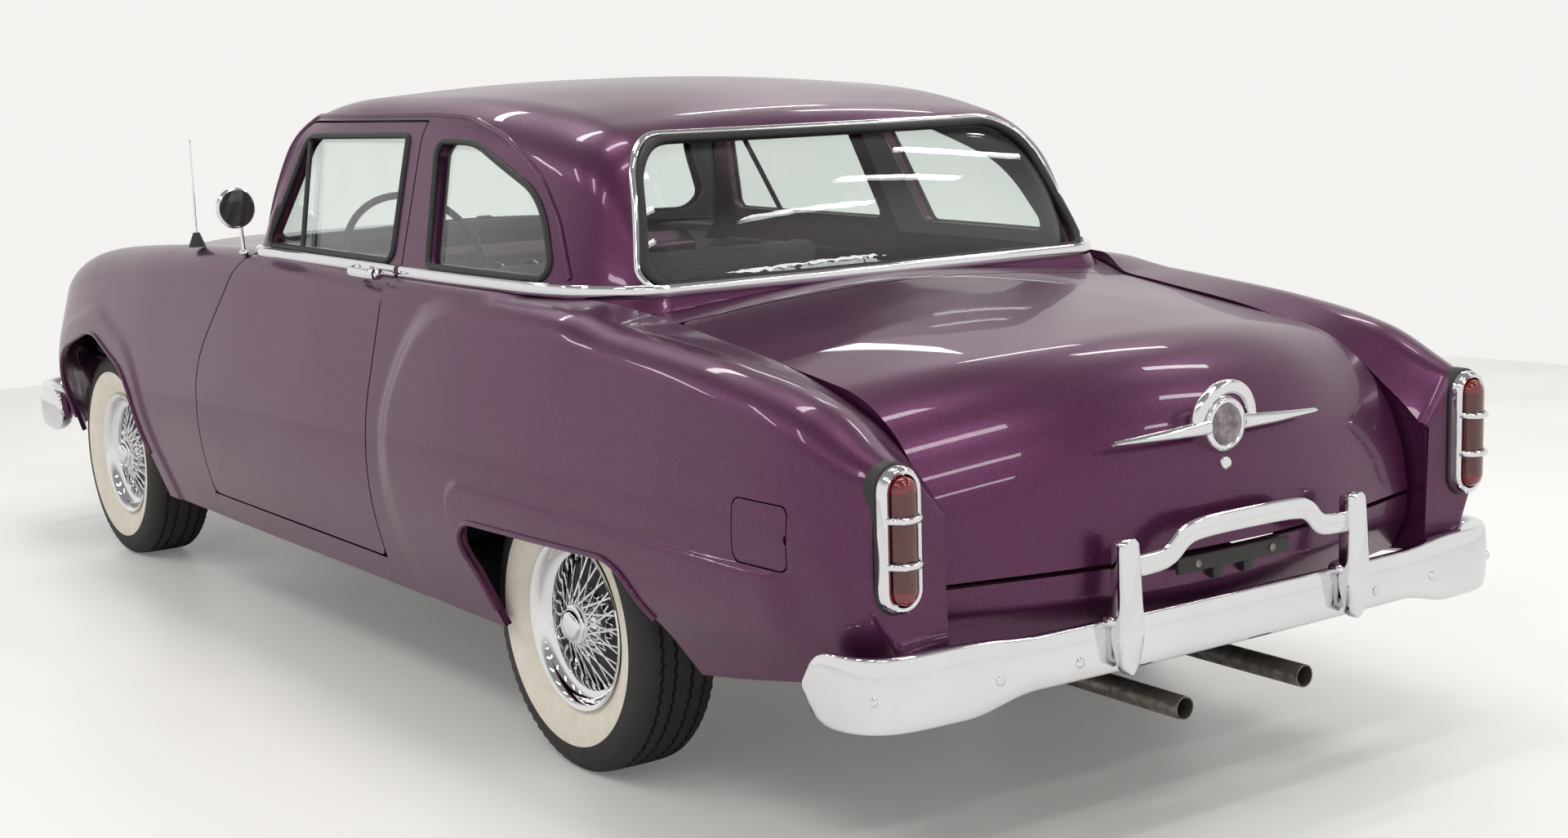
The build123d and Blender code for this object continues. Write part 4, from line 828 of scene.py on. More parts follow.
def build_panels(settings):
    """Painted skins: fenders, rockers, quarters, doors, roof, lids, deck and tail panel."""
    gap = settings.panel_gap / MM

    def door_cut():
        return prism(grown(DOOR_OUTLINE, gap), DOOR_CORNERS, "Y", 400, 1200)

    def side_hole(outline, corners, low=400):
        return prism(outline, corners, "Y", low, 1200)

    sill = [(-486, 150), (-486, 383), (711, 383), (711, 150)]
    fender = sheet(skin(fender_rows()), FENDER_WALL, [
        door_cut(), side_hole(FRONT_ARCH, FRONT_ARCH_CORNERS, 600), side_hole(sill, [0] * 4), closed_house(0),
    ])
    piece("fender_skin_right", copied(fender), "chassis", "body_paint", ("front_fender_right",))
    piece("fender_skin_left", fender, "chassis", "body_paint", ("front_fender_left",))

    rocker = sheet(skin(side_rows(SIDE, spaced(-485, 710, 40))), ROCKER_WALL,
                   keeps=[side_hole([(-485, 150), (-485, 377), (710, 377), (710, 150)], [0] * 4)])
    piece("rocker_skins", joined(copied(rocker), rocker), "chassis", "body_paint", ("rocker_panels",))

    quarter = sheet(skin(quarter_rows()), QUARTER_WALL, [side_hole(REAR_ARCH, REAR_ARCH_CORNERS, 600)])
    piece("quarter_skin_right", copied(quarter), "chassis", "body_paint", ("quarter_panel_right",))
    quarter = carved(quarter, [side_hole(grown(FUEL_DOOR, 3), FUEL_DOOR_CORNERS, 800)])
    piece("quarter_skin_left", quarter, "chassis", "body_paint", ("quarter_panel_left",))
    flap = sheet(skin(quarter_rows()), FLAP_WALL, [side_hole(FUEL_NOTCH, [11] * 4, 800)],
                 [side_hole(FUEL_DOOR, FUEL_DOOR_CORNERS, 800)])
    piece("fuel_flap", flap, "fuel_door", "body_paint", ("fuel_door",))

    lower = sheet(skin(side_rows(SIDE, spaced(-484, 735, 30))), DOOR_WALL,
                  [side_hole([(-600, 1113), (800, 1113), (800, 1300), (-600, 1300)], [0] * 4, 300)],
                  [side_hole(DOOR_OUTLINE, DOOR_CORNERS, 800)])
    upper = carved(closed_house(0), [closed_house(HOUSE_WALL), side_hole(DOOR_WINDOW, DOOR_WINDOW_CORNERS)],
                   [side_hole(DOOR_OUTLINE, DOOR_CORNERS)])
    door = joined(lower, upper)
    piece("door_skin_right", copied(door), "door_right", "body_paint", ("door_right",))
    piece("door_skin_left", door, "door_left", "body_paint", ("door_left",))

    def window_cuts():
        quarter_hole = side_hole(QUARTER_WINDOW, QUARTER_WINDOW_CORNERS)
        return [door_cut(), flip_y(door_cut()), quarter_hole, copied(quarter_hole),
                prism(SCREEN, SCREEN_CORNERS, "X", 330, 900),
                prism(BACKLIGHT, BACKLIGHT_CORNERS, "X", -1700, -1180)]

    def below_belt():
        return [prism([(-900, 900), (-900, z), (900, z), (900, 900)], [0] * 4, "X", x0, x1)
                for z, x0, x1 in ((1112, -1250, 900), (1070, -1700, -1250))]

    roof = carved(closed_house(0), [*window_cuts(), closed_house(HOUSE_WALL), *below_belt()])
    piece("roof_skin", roof, "chassis", "body_paint", ("roof",))
    lining = carved(closed_house(LINING[0]), [*window_cuts(), closed_house(LINING[1]), *below_belt()])
    piece("headlining", lining, "chassis", "grey_trim")

    lid = sheet(skin(lid_rows(DECK, DECK_FRONT_X, spaced(-700, 700, 20))), LID_WALL,
                keeps=[prism(both_sides(LID_PLAN), [30, 0, 0, 0, 0, 30], "Z", 300, 1500)])
    piece("lid_skin", lid, "trunk_lid", "body_paint", ("trunk_lid",))
    deck = sheet(skin(lid_rows(DECK, DECK_FRONT_X, spaced(-780, 780, 20))), LID_WALL, [closed_house(0)],
                 [prism(both_sides(DECK_PLAN), [0] * 4, "Z", 300, 1500)])
    piece("deck_skin", deck, "chassis", "body_paint", ("rear_deck",))
    bonnet = sheet(skin(lid_rows(BONNET, 760, spaced(-660, 660, 20))), LID_WALL,
                   keeps=[prism(both_sides(BONNET_PLAN), [0] * 10, "Z", 300, 1500)])
    piece("bonnet_skin", bonnet, "bonnet", "body_paint", ("bonnet",))
    flank = sheet(grid(flank_rows()), FLANK_WALL)
    piece("tail_flanks", joined(copied(flank), flank), "chassis", "body_paint")
    piece("tail_skin", sheet(skin(tail_rows()), TAIL_WALL), "chassis", "body_paint", ("tail_panel",))


# Profiles of the wheel as (offset, radius)
TYRE = [(70, 197), (76, 214), (94, 236), (105, 262), (107, 285), (104, 312), (97, 333), (88, 343), (78, 349),
        (62, 351), (61, 343), (54, 343), (53, 351.6), (27, 352), (26, 344), (19, 344), (18, 352)]
RIM = [(82, 198), (84, 204), (80, 206), (75, 199), (60, 190), (46, 186), (42, 178), (38, 170), (30, 166),
       (-64, 166), (-78, 190), (-82, 206), (-86, 204), (-82, 184), (-68, 160), (34, 160), (46, 164),
       (50, 172), (54, 180), (66, 186), (76, 191)]
HUB = [(104, 0), (103, 16), (100, 30), (94, 37), (86, 39), (84, 47), (78, 50), (66, 50), (62, 54), (56, 60),
       (40, 63), (24, 63), (10, 56), (-10, 56), (-30, 70), (-36, 60), (-36, 0)]
DRUM = [(22, 60), (22, 142), (16, 150), (-30, 150), (-36, 146), (-36, 60)]
WHEELS = [("front_left", 1770, 762), ("front_right", 1770, -762), ("rear_left", -1329, 771),
          ("rear_right", -1329, -771)]
WHEEL_Z = 350
SPOKE_RIM_R = 163
WHITEWALL_BAND = (205, 274)
TREAD_STEPS = 144
TREAD_R = 352
# Spoke sets: hub offset, hub radius, rim offset, twist in degrees, count, phase
SPOKES = [(72, 48, 24, 26, 18, 0.0), (30, 60, -26, 22, 18, 0.5)]


def tyre_mesh(depth):
    """Tyre with zigzag ribs on the tread and sipes on the shoulders."""
    half = [(w, r if r not in (343, 344) or w > 70 else TREAD_R - depth) for w, r in TYRE]
    bm = spun(half + [(-w, r) for w, r in half[::-1]], TREAD_STEPS)
    for v in bm.verts:
        r = math.hypot(v.co.x, v.co.z) / MM
        odd = round(math.atan2(v.co.z, v.co.x) / (2 * math.pi / TREAD_STEPS)) % 2
        if abs(v.co.y) < 0.064 and r > 335:
            v.co.y += 0.0032 * (1 if odd else -1)
        elif 0.084 < abs(v.co.y) < 0.1 and r > 330 and odd:
            v.co.xz *= (r - 6) / r
    return bm


def build_wheels(settings):
    """Whitewall tyres, crossed wire spokes in deep rims, hubs and brake drums."""
    spoke = settings.spoke_radius / MM
    for name, x, y in WHEELS:
        right = y < 0
        tyre = piece(f"tyre_{name}_rubber", moved(tyre_mesh(settings.tread_depth / MM), x, y, WHEEL_Z, right),
                     f"wheel_{name}", "tyre", (f"tyre_{name}",), 50)
        tyre.data.materials.append(material_for("whitewall"))
        for f in tyre.data.polygons:
            r = math.hypot(f.center.x - x * MM, f.center.z - WHEEL_Z * MM) / MM
            outer = (f.center.y - y * MM) * (-1 if right else 1) > 0.06
            f.material_index = int(outer and WHITEWALL_BAND[0] < r < WHITEWALL_BAND[1])
        parts = [spun(RIM), spun(HUB, 64, False)]
        for w_hub, r_hub, w_rim, twist, count, phase in SPOKES:
            for k in range(count):
                a = 2 * math.pi * (k + phase) / count
                for b in (a + math.radians(twist), a - math.radians(twist)):
                    hub_end = Vector((r_hub * math.cos(a), w_hub, r_hub * math.sin(a)))
                    rim_end = Vector((SPOKE_RIM_R * math.cos(b), w_rim, SPOKE_RIM_R * math.sin(b)))
                    parts.append(rod(hub_end, rim_end, spoke))
                    parts.append(rod(hub_end.lerp(rim_end, 0.9), rim_end, 1.65 * spoke, 8, 1.9 * spoke))
        piece(f"wheel_{name}_chrome", moved(joined(*parts), x, y, WHEEL_Z, right), f"wheel_{name}", "chrome",
              (f"wheel_{name}",), 40)
        piece(f"drum_{name}", moved(spun(DRUM, 64), x, y, WHEEL_Z, right), f"wheel_{name}", "frame_black")


# Bumper paths over the left half, and the bolts on the rear bar as (y, z)
REAR_BAR = [(-2376, 936, 462), (-2440, 938, 462), (-2522, 922, 462), (-2576, 860, 464), (-2594, 700, 468),
            (-2604, 480, 468), (-2609, 240, 468), (-2610, 0, 468)]
FRONT_BAR = [(2184, 915, 462), (2300, 918, 462), (2476, 902, 462), (2562, 842, 464), (2588, 690, 468),
             (2602, 460, 468), (2609, 230, 468), (2610, 0, 468)]
HOOP = [(-2634, 336, 630), (-2640, 270, 632), (-2642, 220, 638), (-2646, 186, 676), (-2650, 140, 688),
        (-2652, 0, 690)]
GUARD_Y = 336
GUARD_FOOT_Z = 418
BOLTS = [(905, 448), (640, 452), (440, 452)]


def bar_section(t):
    """Bumper section: a domed face with a shelf on top, fuller and lower at the rounded ends."""
    end = abs(2 * t - 1)
    bulb = smoothstep(0.5, 0.66, end)
    tip = math.sqrt(max(0.0, 1 - ((end - 0.92) / 0.08) ** 2)) if end > 0.92 else 1.0
    half_up = (55 + 20 * bulb) * (0.2 + 0.8 * tip)
    face = (44 + 16 * bulb) * (0.2 + 0.8 * tip)
    ring = []
    for k in range(36):
        c, s = math.cos(2 * math.pi * k / 36), math.sin(2 * math.pi * k / 36)
        out = face * abs(c) ** 0.85 if c > 0 else -10 * abs(c)
        ring.append((out, half_up * math.copysign(abs(s) ** 0.8, s) - 8 * bulb))
    return ring


def whole_path(half):
    """Points of the left half followed by their mirror, with the middle point once."""
    return [Vector(p) for p in half] + [Vector((x, -y, z)) for x, y, z in half[-2::-1]]


def bumper_path(half):
    """Plan path of a bumper from one end to the other, from points of the left half."""
    return resampled(smoothed(whole_path(half)), 20)


def guard(end, top, bow):
    """Upright blade on a bumper: broad at the shoulder, swept in at the foot, with its face at bow."""
    rows = []
    for k in range(29):
        t = k / 28
        foot = smoothstep(0.0, 0.3, t)
        crown = math.sqrt(max(0.0, 1 - ((t - 0.94) / 0.06) ** 2)) if t > 0.94 else 1.0
        toe = math.sqrt(max(0.0, 1 - ((0.08 - t) / 0.08) ** 2)) if t < 0.08 else 1.0
        half_w = (24 + 12 * foot - 9 * t) * (0.3 + 0.7 * crown) * (0.3 + 0.7 * toe)
        depth = (16 + 14 * foot - 6 * t) * (0.5 + 0.5 * crown)
        face = bow - end * (12 * (1 - foot) + 12 * t * t)
        ring = []
        for j in range(24):
            c, s = math.cos(2 * math.pi * j / 24), math.sin(2 * math.pi * j / 24)
            ring.append(Vector((face - end * depth * (1 - math.copysign(abs(c) ** 0.75, c)),
                                half_w * math.copysign(abs(s) ** 0.75, s),
                                GUARD_FOOT_Z + (top - GUARD_FOOT_Z) * t)))
        rows.append(ring + ring[:1])
    return solid_rows(rows)


def build_bumpers(settings):
    """Chrome bumpers with guards on saddles, the raised band at the rear, bolts and a blank plate carrier."""
    rear = swept(bumper_path(REAR_BAR)[::-1], bar_section)
    spots = [Vector((y * sign, z)) for y, z in BOLTS for sign, _ in SIDES]
    heads = laid(BVHTree.FromBMesh(rear), spots, "X", -1)
    piece("rear_bar", rear, "chassis", "chrome", ("rear_bumper",), 60)
    piece("bumper_bolts", joined(*[ball(p, (7, 11, 11)) for p in heads]), "chassis", "chrome")
    piece("front_bar", swept(bumper_path(FRONT_BAR), bar_section), "chassis", "chrome", ("front_bumper",), 60)
    for end, word, top in ((-1, "rear", 694), (1, "front", 632)):
        parts = []
        for sign, _ in SIDES:
            parts.append(moved(guard(end, top, end * 2669), 0, GUARD_Y * sign, 0))
            parts.append(ball((end * 2618, GUARD_Y * sign, 524), (34, 44, 17)))
        piece(f"{word}_guards", joined(*parts), "chassis", "chrome", (), 50)
    hoop = resampled(smoothed(whole_path(HOOP), 3), 10)[::-1]
    piece("rear_band", swept(hoop, oval(9, 23, 20, 2.6)), "chassis", "chrome", (), 60)
    legs = [block((-2609, -2560), y, (560, 590), 3) for y in ((-60, -30), (30, 60))]
    carrier = joined(block((-2612, -2600), (-165, 165), (584, 618), 4), *legs)
    piece("plate_carrier", carrier, "chassis", "frame_black")
    heads = [ball((-2613, y, 601), (5, 9, 9)) for y in (-110, 110)]
    piece("plate_bolts", joined(*heads), "chassis", "exhaust_steel")


def stadium(width, height, count=14):
    """Outline (y, z) with round ends about its own centre."""
    r = width / 2
    reach = height / 2 - r
    angles = [math.pi * k / count for k in range(count + 1)]
    ring = [Vector((r * math.cos(a), reach + r * math.sin(a))) for a in angles]
    return ring + [Vector((-p.x, -p.y)) for p in ring]


def stack(levels, cy, cz):
    """Solid through stadium outlines given as (x, width, height) in order."""
    rows = []
    for x, w, h in levels:
        ring = [Vector((x, cy + p.x, cz + p.y)) for p in stadium(w, h)]
        rows.append(ring + ring[:1])
    return solid_rows(rows)


# Tail lamp centre as (y, z), and its layers as (x, width, height)
LAMP = (832, 749)
GASKET = [(-2505, 106, 296), (-2534, 105, 295), (-2537, 100, 290), (-2537, 60, 250)]
BEZEL = [(-2510, 97, 287), (-2548, 96, 286), (-2557, 90, 280), (-2561, 80, 270), (-2559, 68, 258),
         (-2552, 64, 254), (-2540, 63, 253)]
LENS = [(-2540, 61, 251), (-2560, 60, 250), (-2570, 52, 242), (-2577, 36, 226), (-2580, 14, 204)]
LAMP_BAR_Z = 44
LAMP_HOOP = [(-2552, 41), (-2574, 33), (-2587, 13), (-2587, -13), (-2574, -33), (-2552, -41)]
HEAD_RING = [(-30, 92), (30, 92), (40, 88), (43, 82), (40, 77), (26, 76), (-30, 76)]
HEAD_LENS = [(20, 75), (30, 74), (40, 64), (48, 44), (52, 20), (53, 0)]
HEAD_LAMP = (2470, 635, 700)


def build_lamps(settings):
    """Tail lamps with gaskets, bezels, two chrome bars and red lenses, and round head lamps."""
    for sign, word in SIDES:
        cy, cz = LAMP[0] * sign, LAMP[1]
        piece(f"tail_gasket_{word}", stack(GASKET, cy, cz), "chassis", "rubber")
        piece(f"tail_bezel_{word}", stack(BEZEL, cy, cz), "chassis", "chrome", ("tail_lamp_bezels",), 50)
        lens = piece(f"tail_lens_{word}", stack(LENS, cy, cz), "chassis", "red_lens", ("tail_lamp_lenses",),
                     50)
        lens.data.materials.append(material_for("smoked_lens"))
        for f in lens.data.polygons:
            f.material_index = int(abs(f.center.z / MM - cz) < LAMP_BAR_Z)
        hoops = []
        for z in (cz + LAMP_BAR_Z, cz - LAMP_BAR_Z):
            hoops.append(swept(smoothed([Vector((x, cy + y, z)) for x, y in LAMP_HOOP], 3), oval(5, 7, 12)))
        piece(f"tail_bars_{word}", joined(*hoops), "chassis", "chrome", (), 60)
        x, y, z = HEAD_LAMP
        piece(f"head_ring_{word}", turned(HEAD_RING + HEAD_RING[:1], x, y * sign, z, 1), "chassis", "chrome",
              ("head_lamp_bezels",), 50)
        piece(f"head_lens_{word}", turned(HEAD_LENS, x, y * sign, z, 1), "chassis", "clear_lens",
              ("head_lamp_lenses",), 50)


def belt_ring(tree, x_from):
    """Line at belt height from one door post round the back of the greenhouse to the other post."""
    centre = Vector((-0.9, 0, BELT_Z * MM))
    start = -math.atan2(x_from + 900, 862)
    path = []
    for angle in spaced(start, math.pi - start, 0.02):
        out = Vector((-math.sin(angle), math.cos(angle), 0))
        hit = tree.ray_cast(centre + 3 * out, -out)[0]
        if hit is None:
            raise RuntimeError("the belt line misses the greenhouse")
        path.append(hit / MM + 3 * out)
    return resampled(smoothed(resampled(path, 30), 2), 16)


def build_trim(settings):
    """Window seals and reveals, belt mouldings, vent dividers, drip rails, arch lips and door handles."""
    half = settings.belt_height / MM / 2
    tree = skin_tree(house_rows())
    arch_paths = []
    for rows, points, radii, ends in ((quarter_rows(), REAR_ARCH, REAR_ARCH_CORNERS, slice(14, -20)),
                                      (fender_rows(), FRONT_ARCH, FRONT_ARCH_CORNERS, slice(14, -16))):
        arch_paths.append(laid(skin_tree(rows), rounded(points, radii, False, 24, 12)[ends], "Y", 1))
    ahead, across = Vector((1, 0, 0)), Vector((0, 1, 0))
    for sign, word in SIDES:
        mirror = Matrix.Diagonal((1, sign, 1))
        for points, radii, label, body in ((DOOR_WINDOW, DOOR_WINDOW_CORNERS, "door", f"door_{word}"),
                                           (QUARTER_WINDOW, QUARTER_WINDOW_CORNERS, "quarter", "chassis")):
            path = resampled(laid(tree, rounded(grown(points, 4), radii, True, 12, 10), "Y", sign), 14, True)
            piece(f"seal_{label}_{word}", swept(path, oval(9, 9, 12), across, True), body, "rubber")
        low, high = (Vector(p) for p in VENT_DIVIDER)
        divider = laid(tree, [low.lerp(high, k / 12) for k in range(13)], "Y", sign)
        piece(f"vent_divider_{word}", swept(divider, oval(10, 7, 12), across), f"door_{word}", "rubber")
        drip = resampled(laid(tree, rounded(DRIP_LINE, DRIP_CORNERS, False, 12, 10), "Y", sign), 16)
        piece(f"drip_rail_{word}", swept(drip, oval(8, 6, 12), across), "chassis", "body_paint")
        for path, label in zip(arch_paths, ("rear", "front")):
            lip = swept(resampled([mirror @ p for p in path], 14), oval(7, 8, 12), across)
            piece(f"{label}_arch_lip_{word}", lip, "chassis", "body_paint")
        line = [Vector((x, BELT_Z)) for x in spaced(470, -474, 30)]
        path = [p + Vector((0, 3 * sign, 0)) for p in laid(tree, line, "Y", sign)][::-sign]
        piece(f"belt_door_{word}", swept(path, oval(13, half, 18, 2.6)), f"door_{word}", "chrome", (), 60)
        grip = [Vector((x, y * sign, BELT_Z - 4)) for x, y in HANDLE]
        handle = joined(swept(resampled(smoothed(grip, 3), 6)[::-sign], oval(8, 13, 14, 2.4)),
                        ball((-440, 888 * sign, BELT_Z - 6), (16, 22, 15)),
                        ball((-300, 878 * sign, BELT_Z - 4), (18, 10, 17)))
        piece(f"handle_{word}", handle, f"door_{word}", "chrome", (), 50)
    for points, radii, label, sign in ((SCREEN, SCREEN_CORNERS, "windscreen", 1),
                                       (BACKLIGHT, BACKLIGHT_CORNERS, "rear_window", -1)):
        for kind, gap, section, finish in (("seal", 2, oval(12, 12, 12), "rubber"),
                                           ("reveal", 15, oval(9, 11, 14), "chrome")):
            outline = rounded(grown(points, gap), radii, True, 20, 12)
            path = resampled(laid(tree, outline, "X", sign), 16, True)
            piece(f"{kind}_{label}", swept(path, section, ahead, True), "chassis", finish)
    belt = swept(belt_ring(tree, -488)[::-1], oval(13, half, 18, 2.6))
    piece("belt_rear", belt, "chassis", "chrome", (), 60)


def build_ornament(settings):
    """Half-round arch with a plain disc and two wings on the lid, and the lock below it."""
    arch_r, z = 79, 874
    ring = [Vector((-2574 - 12 * math.sin(a), arch_r * math.cos(a), z + arch_r * math.sin(a)))
            for a in spaced(0, math.pi, 0.1)]
    arch = swept(ring, oval(15, 13, 16, 2.4), Vector((1, 0, 0)))
    disc = [(0, 58), (20, 58), (26, 54), (27, 46), (24, 43), (24, 0)]
    wings = []
    for sign, _ in SIDES:
        path = [Vector((-2586 + 26 * t * t, sign * (50 + 246 * t), z - 8 * t)) for t in spaced(0, 1, 0.06)]
        wings.append(swept(path, lambda t: [(o, u * (1 - 0.7 * t)) for o, u in oval(9, 17, 14, 1.7)(0)]))
    lock = turned([(0, 14), (14, 14), (17, 11), (17, 0)], -2572, 0, 792, -1, 24)
    piece("lid_badge", joined(arch, turned(disc, -2562, 0, z, -1), *wings, lock), "trunk_lid", "chrome",
          ("deck_ornament",), 50)
    face = turned([(0, 42), (4, 42), (8, 30), (9, 0)], -2584, 0, z, -1)
    piece("lid_badge_disc", face, "trunk_lid", "medallion")


ANTENNA = (921, 850)


def build_fittings(settings):
    """Door mirror, antenna, and dial rings on the dashboard."""
    head = turned([(0, 0), (0, 54), (4, 59), (10, 60), (16, 54), (22, 36), (25, 0)], 504, 880, 1250, 1)
    stalk = rod((522, 859, 1116), (520, 866, 1236), 6, 12, 5)
    foot = ball((524, 858, 1118), (22, 13, 9))
    piece("mirror_head", joined(head, stalk, foot), "chassis", "chrome", ("mirror",), 50)
    face = turned([(0, 0), (0, 53), (1, 53), (1, 0)], 502.6, 880, 1250, 1)
    piece("mirror_face", face, "chassis", "mirror_glass")
    base = rod((*ANTENNA, 1112), (*ANTENNA, 1156), 27, 24, 10)
    piece("antenna_base", base, "chassis", "rubber", ("antenna",))
    mast = joined(rod((*ANTENNA, 1150), (*ANTENNA, 1300), 3.4), rod((*ANTENNA, 1300), (*ANTENNA, 1438), 2.2),
                  ball((*ANTENNA, 1437), (4, 4, 4)))
    piece("antenna_mast", mast, "chassis", "chrome")
    dial = [(0, 48), (8, 46), (10, 42), (4, 40), (4, 48)]
    dials = [turned(dial, 476, y, 985, -1) for y in (500, 380, 60, -60)]
    piece("dash_dials", joined(*dials, block((466, 474), (-620, 640), (925, 935), 3)), "chassis", "chrome")


# Seat pads: rounding, voxel, pressure and frames of the cloth, its greatest swelling, and the sewn channels
PAD_BEVEL = 34
PAD_VOXEL = 0.011
PAD_PRESSURE = 4
PAD_FRAMES = 20
PAD_SWELLING = 0.014
CHANNEL_PITCH = 110
CHANNEL_HALF = 12
CHANNEL_DEPTH = 0.008


def pad(name, x, y, z, lean):
    """Foam pad: a rounded block leaned back, swollen as cloth, then drawn in along sewn channels."""
    bm = block(x, y, z, PAD_BEVEL, 4)
    for v in bm.verts:
        v.co.x -= lean * (v.co.z - z[0] * MM)
    obj = to_object("pad", bm)
    remesh = obj.modifiers.new("remesh", "REMESH")
    remesh.mode = "VOXEL"
    remesh.voxel_size = PAD_VOXEL
    baked(obj)
    rest = [v.co.copy() for v in obj.data.vertices]
    cloth = obj.modifiers.new("cloth", "CLOTH")
    cloth.settings.use_pressure = True
    cloth.settings.uniform_pressure_force = PAD_PRESSURE
    cloth.settings.effector_weights.gravity = 0
    scene = bpy.context.scene
    for step in range(1, PAD_FRAMES + 1):
        scene.frame_set(step)
    baked(obj)
    scene.frame_set(1)
    for v, start in zip(obj.data.vertices, rest):
        shift = v.co - start
        v.co = start + shift * min(1, PAD_SWELLING / max(shift.length, 1e-9))
    bm = mesh_of(obj)
    bm.normal_update()
    for v in bm.verts:
        offset = (v.co.y / MM + CHANNEL_PITCH / 2) % CHANNEL_PITCH - CHANNEL_PITCH / 2
        if v.normal.z > 0.25 or v.normal.x > 0.4:
            v.co -= v.normal * CHANNEL_DEPTH * math.exp(-(offset / CHANNEL_HALF) ** 2)
    obj = piece(name, bm, "chassis", "seat_cloth", (), 180)
    return obj


def build_seats(settings):
    """Two padded benches on plain boxes."""
    front = pad("front_cushion", (-236, 284), (-622, 622), (500, 646), 0)
    pad("front_back", (-270, -138), (-622, 622), (600, 1104), 0.17)
    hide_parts("front_seat")
    piece("front_seat_box", block((-262, 270), (-612, 612), (326, 520), 14), "chassis", "grey_trim")
    rear = pad("rear_cushion", (-900, -496), (-584, 584), (540, 676), 0)
    pad("rear_back", (-1130, -1000), (-584, 584), (650, 1046), 0.1)
    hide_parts("rear_seat")
    piece("rear_seat_box", block((-930, -505), (-580, 580), (326, 560), 14), "chassis", "grey_trim")


# Ceiling strips as plan positions in metres
STRIP_ROWS = [-7.4, -5.6, -3.8, -2.0, -0.2, 1.6, 3.4]
STRIP_COLUMNS = [-3.4, 0.2, 3.8]
STRIP_Z = 4.4
STRIP_SIZE = (0.22, 1.3)
CAMERA_AT = (-5.782, 3.370, 1.670)
CAMERA_TURN = (-35.166, -9.447, -1.70)
CAMERA_LENS = 51.353


def room_world(settings):
    """White room: seen as it is by the camera, metal and glass, and softer as a light."""
    world = bpy.data.worlds.new("room")
    world.use_nodes = True
    tree = world.node_tree
    seen = tree.nodes["Background"]
    lit = tree.nodes.new("ShaderNodeBackground")
    lit.inputs["Color"].default_value = (*settings.room, 1)
    lit.inputs["Strength"].default_value = settings.room_light
    split = tree.nodes.new("ShaderNodeSeparateXYZ")
    tree.links.new(tree.nodes.new("ShaderNodeTexCoord").outputs["Generated"], split.inputs["Vector"])
    ceiling = tree.nodes.new("ShaderNodeMix")
    ceiling.data_type = "RGBA"
    ceiling.inputs["A"].default_value = (*settings.room, 1)
    ceiling.inputs["B"].default_value = (*settings.ceiling, 1)
    tree.links.new(ranged(tree, split.outputs["Z"], 0.32, 0.62, 0.0, 1.0), ceiling.inputs["Factor"])
    tree.links.new(ceiling.outputs["Result"], seen.inputs["Color"])
    rays = tree.nodes.new("ShaderNodeLightPath")
    share = rays.outputs["Is Camera Ray"]
    for label in ("Is Glossy Ray", "Is Transmission Ray"):
        both = tree.nodes.new("ShaderNodeMath")
        both.operation = "MAXIMUM"
        tree.links.new(share, both.inputs[0])
        tree.links.new(rays.outputs[label], both.inputs[1])
        share = both.outputs["Value"]
    mix = tree.nodes.new("ShaderNodeMixShader")
    tree.links.new(share, mix.inputs["Fac"])
    tree.links.new(lit.outputs["Background"], mix.inputs[1])
    tree.links.new(seen.outputs["Background"], mix.inputs[2])
    tree.links.new(mix.outputs["Shader"], tree.nodes["World Output"].inputs["Surface"])
    return world


def build_stage(settings):
    """Pale floor, white room, ceiling strips and the camera at the photo's place."""
    scene = bpy.context.scene
    bm = bmesh.new()
    bmesh.ops.create_circle(bm, cap_ends=True, segments=128, radius=settings.floor_radius)
    floor = to_object("floor", bm)
    tones = ((*settings.floor, 1), (*[0.97 * c for c in settings.floor], 1), 1.5, 0.35, 0.45)
    mat, shader, _ = effect_material("floor", "Fine grain", tones)
    tree = mat.node_tree
    in_view = tree.nodes.new("ShaderNodeLightPath").outputs["Is Camera Ray"]
    glow = ranged(tree, in_view, 0.0, 1.0, 0.0, settings.floor_glow)
    tree.links.new(glow, shader.inputs["Emission Strength"])
    shader.inputs["Emission Color"].default_value = (*settings.floor, 1)
    floor.data.materials.append(mat)
    scene.world = room_world(settings)
    for x in STRIP_ROWS:
        for y in STRIP_COLUMNS:
            light = bpy.data.lights.new("strip", "AREA")
            light.shape = "RECTANGLE"
            light.size, light.size_y = STRIP_SIZE
            light.energy = settings.strip_power
            strip = bpy.data.objects.new("strip", light)
            strip.location = (x, y, STRIP_Z)
            scene.collection.objects.link(strip)
    cam = bpy.data.cameras.new("camera")
    cam.sensor_width = 36
    cam.lens = CAMERA_LENS
    obj = bpy.data.objects.new("camera", cam)
    obj.location = CAMERA_AT
    az, el, roll = [math.radians(a) for a in CAMERA_TURN]
    ahead = Vector((math.cos(el) * math.cos(az), math.cos(el) * math.sin(az), math.sin(el)))
    right = ahead.cross(UP).normalized()
    up = right.cross(ahead)
    c, s = math.cos(roll), math.sin(roll)
    axes = (right * c + up * s, up * c - right * s, -ahead)
    obj.rotation_mode = "QUATERNION"
    obj.rotation_quaternion = Matrix(axes).transposed().to_quaternion()
    scene.collection.objects.link(obj)
    scene.camera = obj
    scene.view_settings.view_transform = "Standard"


def tint(label, text, value):
    return FloatVectorProperty(name=label, description=text, subtype="COLOR", size=3, min=0, max=1,
                               default=value)


def length(label, text, value):
    return FloatProperty(name=label, description=text, unit="LENGTH", min=0, default=value)


